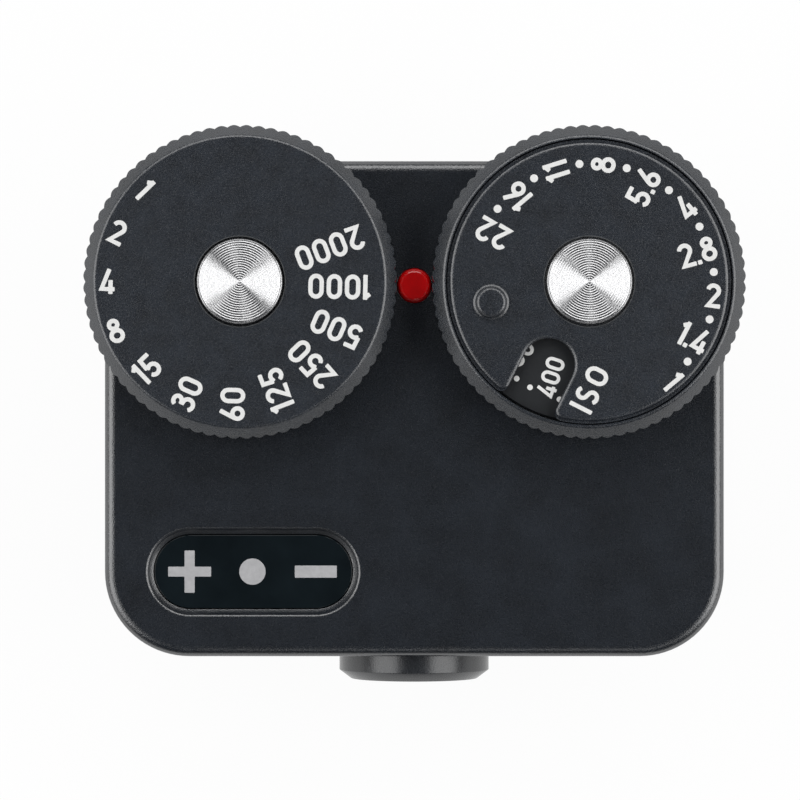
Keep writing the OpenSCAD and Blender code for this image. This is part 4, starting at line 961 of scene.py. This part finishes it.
def face_outline(face_r, notch_r):
    """The disc's edge with the window cut in: along the rim, round the lips and the inner end"""
    lip_y = notch_r + LIP_R
    lip_x = math.sqrt((face_r - LIP_R) ** 2 - lip_y ** 2)
    half = math.degrees(math.atan2(lip_y, lip_x))
    rim = arc(0, 0, face_r, face_r, half, 360 - half, 200)
    lower_lip = arc(lip_x, -lip_y, LIP_R, LIP_R, -half, 90, 8)[1:]
    upper_lip = arc(lip_x, lip_y, LIP_R, LIP_R, -90, half, 8)[:-1]
    end = arc(NOTCH_AT, 0, notch_r, notch_r, -90, -270, 32)
    return rim + lower_lip + end + upper_lip


# drawn twice as thick and then pressed to half, so that the edge's round becomes a flat oval
face = plate(face_outline(FACE_R, NOTCH_R), 0, 2 * FACE_T)
bevel_edges(face, lambda a, b: near(a.z, 2 * FACE_T) and near(b.z, 2 * FACE_T), FACE_EDGE, 8)
carve(face, plate(face_outline(SKIRT_R, NOTCH_R + 0.04), 2 * SKIRT_PLAY, 2 * SKIRT_TOP), "UNION")
face.data.transform(Matrix.Translation((0, 0, FACE_Z)) @ Matrix.Diagonal((1, 1, 0.5, 1)))
face.data.transform(
    Matrix.Translation((DIAL_X, DIAL_Y, 0)) @ Matrix.Rotation(math.radians(NOTCH_ANGLE), 4, "Z"))
carve(face, turned(
    [(0, FACE_Z - 1), (FACE_BORE_R, FACE_Z - 1), (FACE_BORE_R, FACE_SEAT_FLOOR),
     (CAP_SEAT_R, FACE_SEAT_FLOOR), (CAP_SEAT_R, DIAL_TOP - SEAT_EDGE), (CAP_SEAT_R + SEAT_EDGE, DIAL_TOP),
     (CAP_SEAT_R + SEAT_EDGE, DIAL_TOP + 1), (0, DIAL_TOP + 1)],
    DIAL_X, DIAL_Y, 128))
settle(face, "numbered_face")
dress(face, satin_black)
# the cap seat's edge gets the painted highlight
second_finish_on(face, seat_edge_highlight_paint, on_cap_seat(DIAL_X))
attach(face, "numbered_face")
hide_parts("aperture_face")

# Aperture numbers: the stops from 1 to 22 in white paint, reading outwards, with a dot for
# each half stop, and the letters for the film speed beside the window.
APERTURE_RING = (DIAL_X + 0.22, DIAL_Y - 0.26)
APERTURE_RING_R = 9.01
FIRST_STOP = 152.46
HALF_STOP_RING_R = 8.52
STOPS = ("22", "16", "11", "8", "5.6", "4", "2.8", "2", "1.4", "1")
stop_lines = [
    (stop, SIGN_H, *APERTURE_RING, FIRST_STOP - CLICK * i, APERTURE_RING_R, True)
    for i, stop in enumerate(STOPS)]
half_stops = []
for i in range(len(STOPS) - 1):
    turn = math.radians(FIRST_STOP - CLICK * (i + 0.5))
    half_stops.append((
        APERTURE_RING[0] + HALF_STOP_RING_R * math.cos(turn),
        APERTURE_RING[1] + HALF_STOP_RING_R * math.sin(turn), 0.28))
LETTER_H = 1.71
LETTER_HEADING = 63.2
for letter, x, y in (("I", -0.61, -8.82), ("S", -0.14, -7.96), ("O", 0.51, -6.62)):
    stop_lines.append((
        letter, LETTER_H, DIAL_X + x, DIAL_Y + y, LETTER_HEADING, -SIGNS[letter][0] * LETTER_H / 2, False))
stop_signs = print_signs("aperture_signs", stop_lines, half_stops, DIAL_TOP)
dress(stop_signs, white_paint)
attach(stop_signs, "numbered_face")

# Film speeds: on the disc below, in smaller white figures that read inwards. Only the one in
# the window shows at rest.
SPEEDS = ("3200", "1600", "800", "400", "200", "100", "50", "25")
SPEED_H = 1.36
SPEED_RING = (DIAL_X - 0.48, DIAL_Y + 0.13)
SPEED_RING_R = 8.6
FIRST_SPEED = 184.7
SPEED_DOT_RING = (DIAL_X + 0.11, DIAL_Y + 0.03)
SPEED_DOT_RING_R = 8.55
FIRST_SPEED_DOT = 180.3
speed_lines = []
speed_dots = []
for i, speed in enumerate(SPEEDS):
    speed_lines.append((speed, SPEED_H, *SPEED_RING, FIRST_SPEED + CLICK * i + 180, -SPEED_RING_R, False))
    for third in (CLICK / 3, CLICK * 2 / 3):
        turn = math.radians(FIRST_SPEED_DOT + CLICK * i - third)
        speed_dots.append((
            SPEED_DOT_RING[0] + SPEED_DOT_RING_R * math.cos(turn),
            SPEED_DOT_RING[1] + SPEED_DOT_RING_R * math.sin(turn), 0.2))
speed_signs = print_signs("film_speed_signs", speed_lines, speed_dots, SPEED_TOP)
dress(speed_signs, white_paint)
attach(speed_signs, "aperture")

# Finger pin: a low turned stud on the numbered face that a fingertip turns it with. It has a
# thin flange that lies on the face.
PIN_TURN = math.radians(191.9)
PIN_RING_R = 7.02
PIN_TOP = DIAL_TOP + 0.6
PIN_EDGE = 0.3
FLANGE_R = 1.26
pin = turned(
    [(0, FACE_Z), (0.62, FACE_Z), (0.62, DIAL_TOP - 0.02), (FLANGE_R, DIAL_TOP - 0.02),
     (FLANGE_R, DIAL_TOP + 0.02), (FLANGE_R - 0.04, DIAL_TOP + 0.05), (FLANGE_R - 0.14, DIAL_TOP + 0.08)]
    + corner(0.8, PIN_TOP - PIN_EDGE, PIN_EDGE, 10, 90, 8) + [(0, PIN_TOP)],
    DIAL_X + PIN_RING_R * math.cos(PIN_TURN), DIAL_Y + PIN_RING_R * math.sin(PIN_TURN), 64)
settle(pin, "finger_stud", 40)
dress(pin, satin_black)
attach(pin, "numbered_face")
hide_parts("finger_pin")

# Light sensor: a turned black bezel screwed into the front wall, a glass lens and a blue-green
# filter behind it. The sections are drawn from the bezel's front inwards, along +Z.
BEZEL_R = 5.4
BEZEL_FACE_R = 4.6
BEZEL_PROUD = 1.9
BEZEL_EDGE = 0.06
THREAD_R = 3.7
LENS_R = 3.05
LENS_CROWN = 0.45
stepped_mouth = [
    (3.3, 0.85), (3.34, 0.75), (3.5, 0.65), (3.54, 0.55), (3.7, 0.45), (3.74, 0.35), (3.94, 0.25)]
bezel = turned(
    [(4, 0), (BEZEL_FACE_R - BEZEL_EDGE, 0)]
    + corner(BEZEL_FACE_R - BEZEL_EDGE, BEZEL_EDGE, BEZEL_EDGE, -90, -50, 2)
    + corner(BEZEL_R - BEZEL_EDGE, 0.66, BEZEL_EDGE, -40, 0, 2)
    + [(BEZEL_R, BEZEL_PROUD), (THREAD_R, BEZEL_PROUD), (THREAD_R, 4.7), (3.2, 4.7), (3.2, 2.6),
       (2.6, 2.6), (2.6, BEZEL_PROUD), (LENS_R + 0.02, BEZEL_PROUD), (LENS_R + 0.02, 1)]
    + stepped_mouth, 0, 0, 160)
across(bezel, FRONT_Y - BEZEL_PROUD, SENSOR_Z)
settle(bezel, "sensor_ring", 35)
dress(bezel, finish(
    "turned_black", (0.018, 0.02, 0.0235), 0.27, shine=0.9, spread=0.3, patch=900,
    stretch=(1, 0.25, 1), specks=0.5))
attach(bezel, "meter_body")
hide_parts("sensor_bezel")

crown = [(LENS_R * math.cos(math.radians(a)), 1 - LENS_CROWN * math.sin(math.radians(a)))
         for a in range(15, 90, 15)]
lens = turned(
    [(0, BEZEL_PROUD), (LENS_R, BEZEL_PROUD), (LENS_R, 1)] + crown + [(0, 1 - LENS_CROWN)], 0, 0, 96)
across(lens, FRONT_Y - BEZEL_PROUD, SENSOR_Z)
settle(lens, "sensor_dome", 60, False)
dress(lens, finish(
    "lens_glass", (0.92, 0.95, 0.97), 0.03, spread=0.02, patch=300, grain=900, depth=0.0, clear=0.85))
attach(lens, "meter_body")
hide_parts("sensor_lens")

dress(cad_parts["sensor_filter"], finish(
    "filter_glass", (0.16, 0.42, 0.36), 0.06, spread=0.06, patch=400, grain=900, depth=0.0, clear=0.6))

# Measure button: a turned black button, flush with the rear wall, with a shallow dish for
# the fingertip.
BUTTON_R = 3
BUTTON_EDGE = 0.25
BUTTON_FLANGE_R = 3.8
dish = [(0, 0.22), (1.2, 0.17), (2.2, 0.05), (2.5, 0)]
button = turned(
    dish + corner(BUTTON_R - BUTTON_EDGE, BUTTON_EDGE, BUTTON_EDGE, -90, 0, 4)
    + [(BUTTON_R, WALL), (BUTTON_FLANGE_R, WALL), (BUTTON_FLANGE_R, 2.2), (1, 2.2), (1, 3.5), (0, 3.5)],
    0, 0, 128)
across(button, REAR_Y, BUTTON_Z, 90)
settle(button, "measure_key", 35)
dress(button, finish(
    "button_black", (0.014, 0.015, 0.018), 0.3, spread=0.15, patch=900))
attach(button, "button")
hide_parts("measure_button")

# Battery cap: a turned steel disc with a coin slot, flush with the base plate.
CELL_CAP_R = 6.5
CELL_CAP_TOP = 5
CELL_CAP_EDGE = 0.15
COIN_SLOT_L = 9
COIN_SLOT_W = 1.4
COIN_SLOT_D = 0.7
cap = turned(
    [(0, FLOOR_Z), (CELL_CAP_R - 0.2, FLOOR_Z)]
    + corner(CELL_CAP_R - CELL_CAP_EDGE, FLOOR_Z + CELL_CAP_EDGE, CELL_CAP_EDGE, -90, 0, 3)
    + [(CELL_CAP_R, CELL_CAP_TOP), (0, CELL_CAP_TOP)], CELL_X, CELL_Y, 128)
carve(cap, rounded_block(
    CELL_X - COIN_SLOT_L / 2, CELL_X + COIN_SLOT_L / 2, CELL_Y - COIN_SLOT_W / 2, CELL_Y + COIN_SLOT_W / 2,
    FLOOR_Z - 1, FLOOR_Z + COIN_SLOT_D, 0.68, 8))
settle(cap, "coin_slot_cap")
dress(cap, finish(
    "turned_steel", (0.5, 0.5, 0.51), 0.28, metal=1.0, spread=0.1, patch=900, grain=7000, depth=0.002))
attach(cap, "battery_cap")
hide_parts("cell_cap")


# Inner parts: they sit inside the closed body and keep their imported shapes. Each kind of
# part gets the finish of its own material.
def dress_nodes(material, *names):
    for one in names:
        dress(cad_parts[one], material)


dress_nodes(
    finish("turned_brass", (0.62, 0.42, 0.14), 0.26, metal=1.0, spread=0.12, patch=900, grain=7000),
    "shutter_shaft", "shutter_bush", "shutter_bush_nut", "aperture_shaft", "aperture_bush",
    "aperture_bush_nut", "aperture_collar", "sensor_nut", "friction_washer")
dress_nodes(
    finish("plain_steel", (0.42, 0.42, 0.43), 0.3, metal=1.0, spread=0.12, patch=900, grain=7000),
    "shutter_screw", "aperture_screw", "shutter_clip", "aperture_clip", "board_screws", "detent_balls",
    "detent_springs", "button_spring")
dress_nodes(
    finish("gold_flash", (0.72, 0.5, 0.17), 0.22, metal=1.0, spread=0.08, patch=900, grain=6000),
    "shutter_brush", "aperture_brush", "contact_tracks")
dress_nodes(
    finish("ivory_acetal", (0.7, 0.66, 0.55), 0.42, shine=0.45, spread=0.05, patch=600, grain=5000),
    "shutter_wiper", "aperture_wiper", "switch_plunger")
dress_nodes(
    finish("black_nylon", (0.012, 0.012, 0.013), 0.5, shine=0.4, spread=0.2, patch=700, grain=6000),
    "light_guide", "cell_holder", "measure_switch", "board_chips")
dress_nodes(
    finish("solder_mask", (0.01, 0.09, 0.04), 0.3, spread=0.35, patch=900, grain=3000),
    "main_board", "sensor_board")
dress_nodes(
    finish("nickel_plate", (0.66, 0.66, 0.65), 0.18, metal=1.0, spread=0.06, patch=500, grain=5000),
    "button_cells", "upper_contact", "cap_contact")
dress_nodes(
    finish("clear_resin", (0.8, 0.78, 0.68), 0.15, spread=0.05, patch=900, grain=2000),
    "indicator_lamps")
dress_nodes(
    finish("diode_epoxy", (0.02, 0.022, 0.03), 0.12, spread=0.2, patch=1500, grain=3000),
    "photodiode")
dress_nodes(
    finish("polyimide", (0.5, 0.2, 0.03), 0.3, spread=0.12, patch=900, grain=3000),
    "sensor_ribbon")
dress_nodes(
    finish("nitrile", (0.01, 0.01, 0.01), 0.6, shine=0.4, spread=0.2, patch=900, grain=6000),
    "cap_seal")
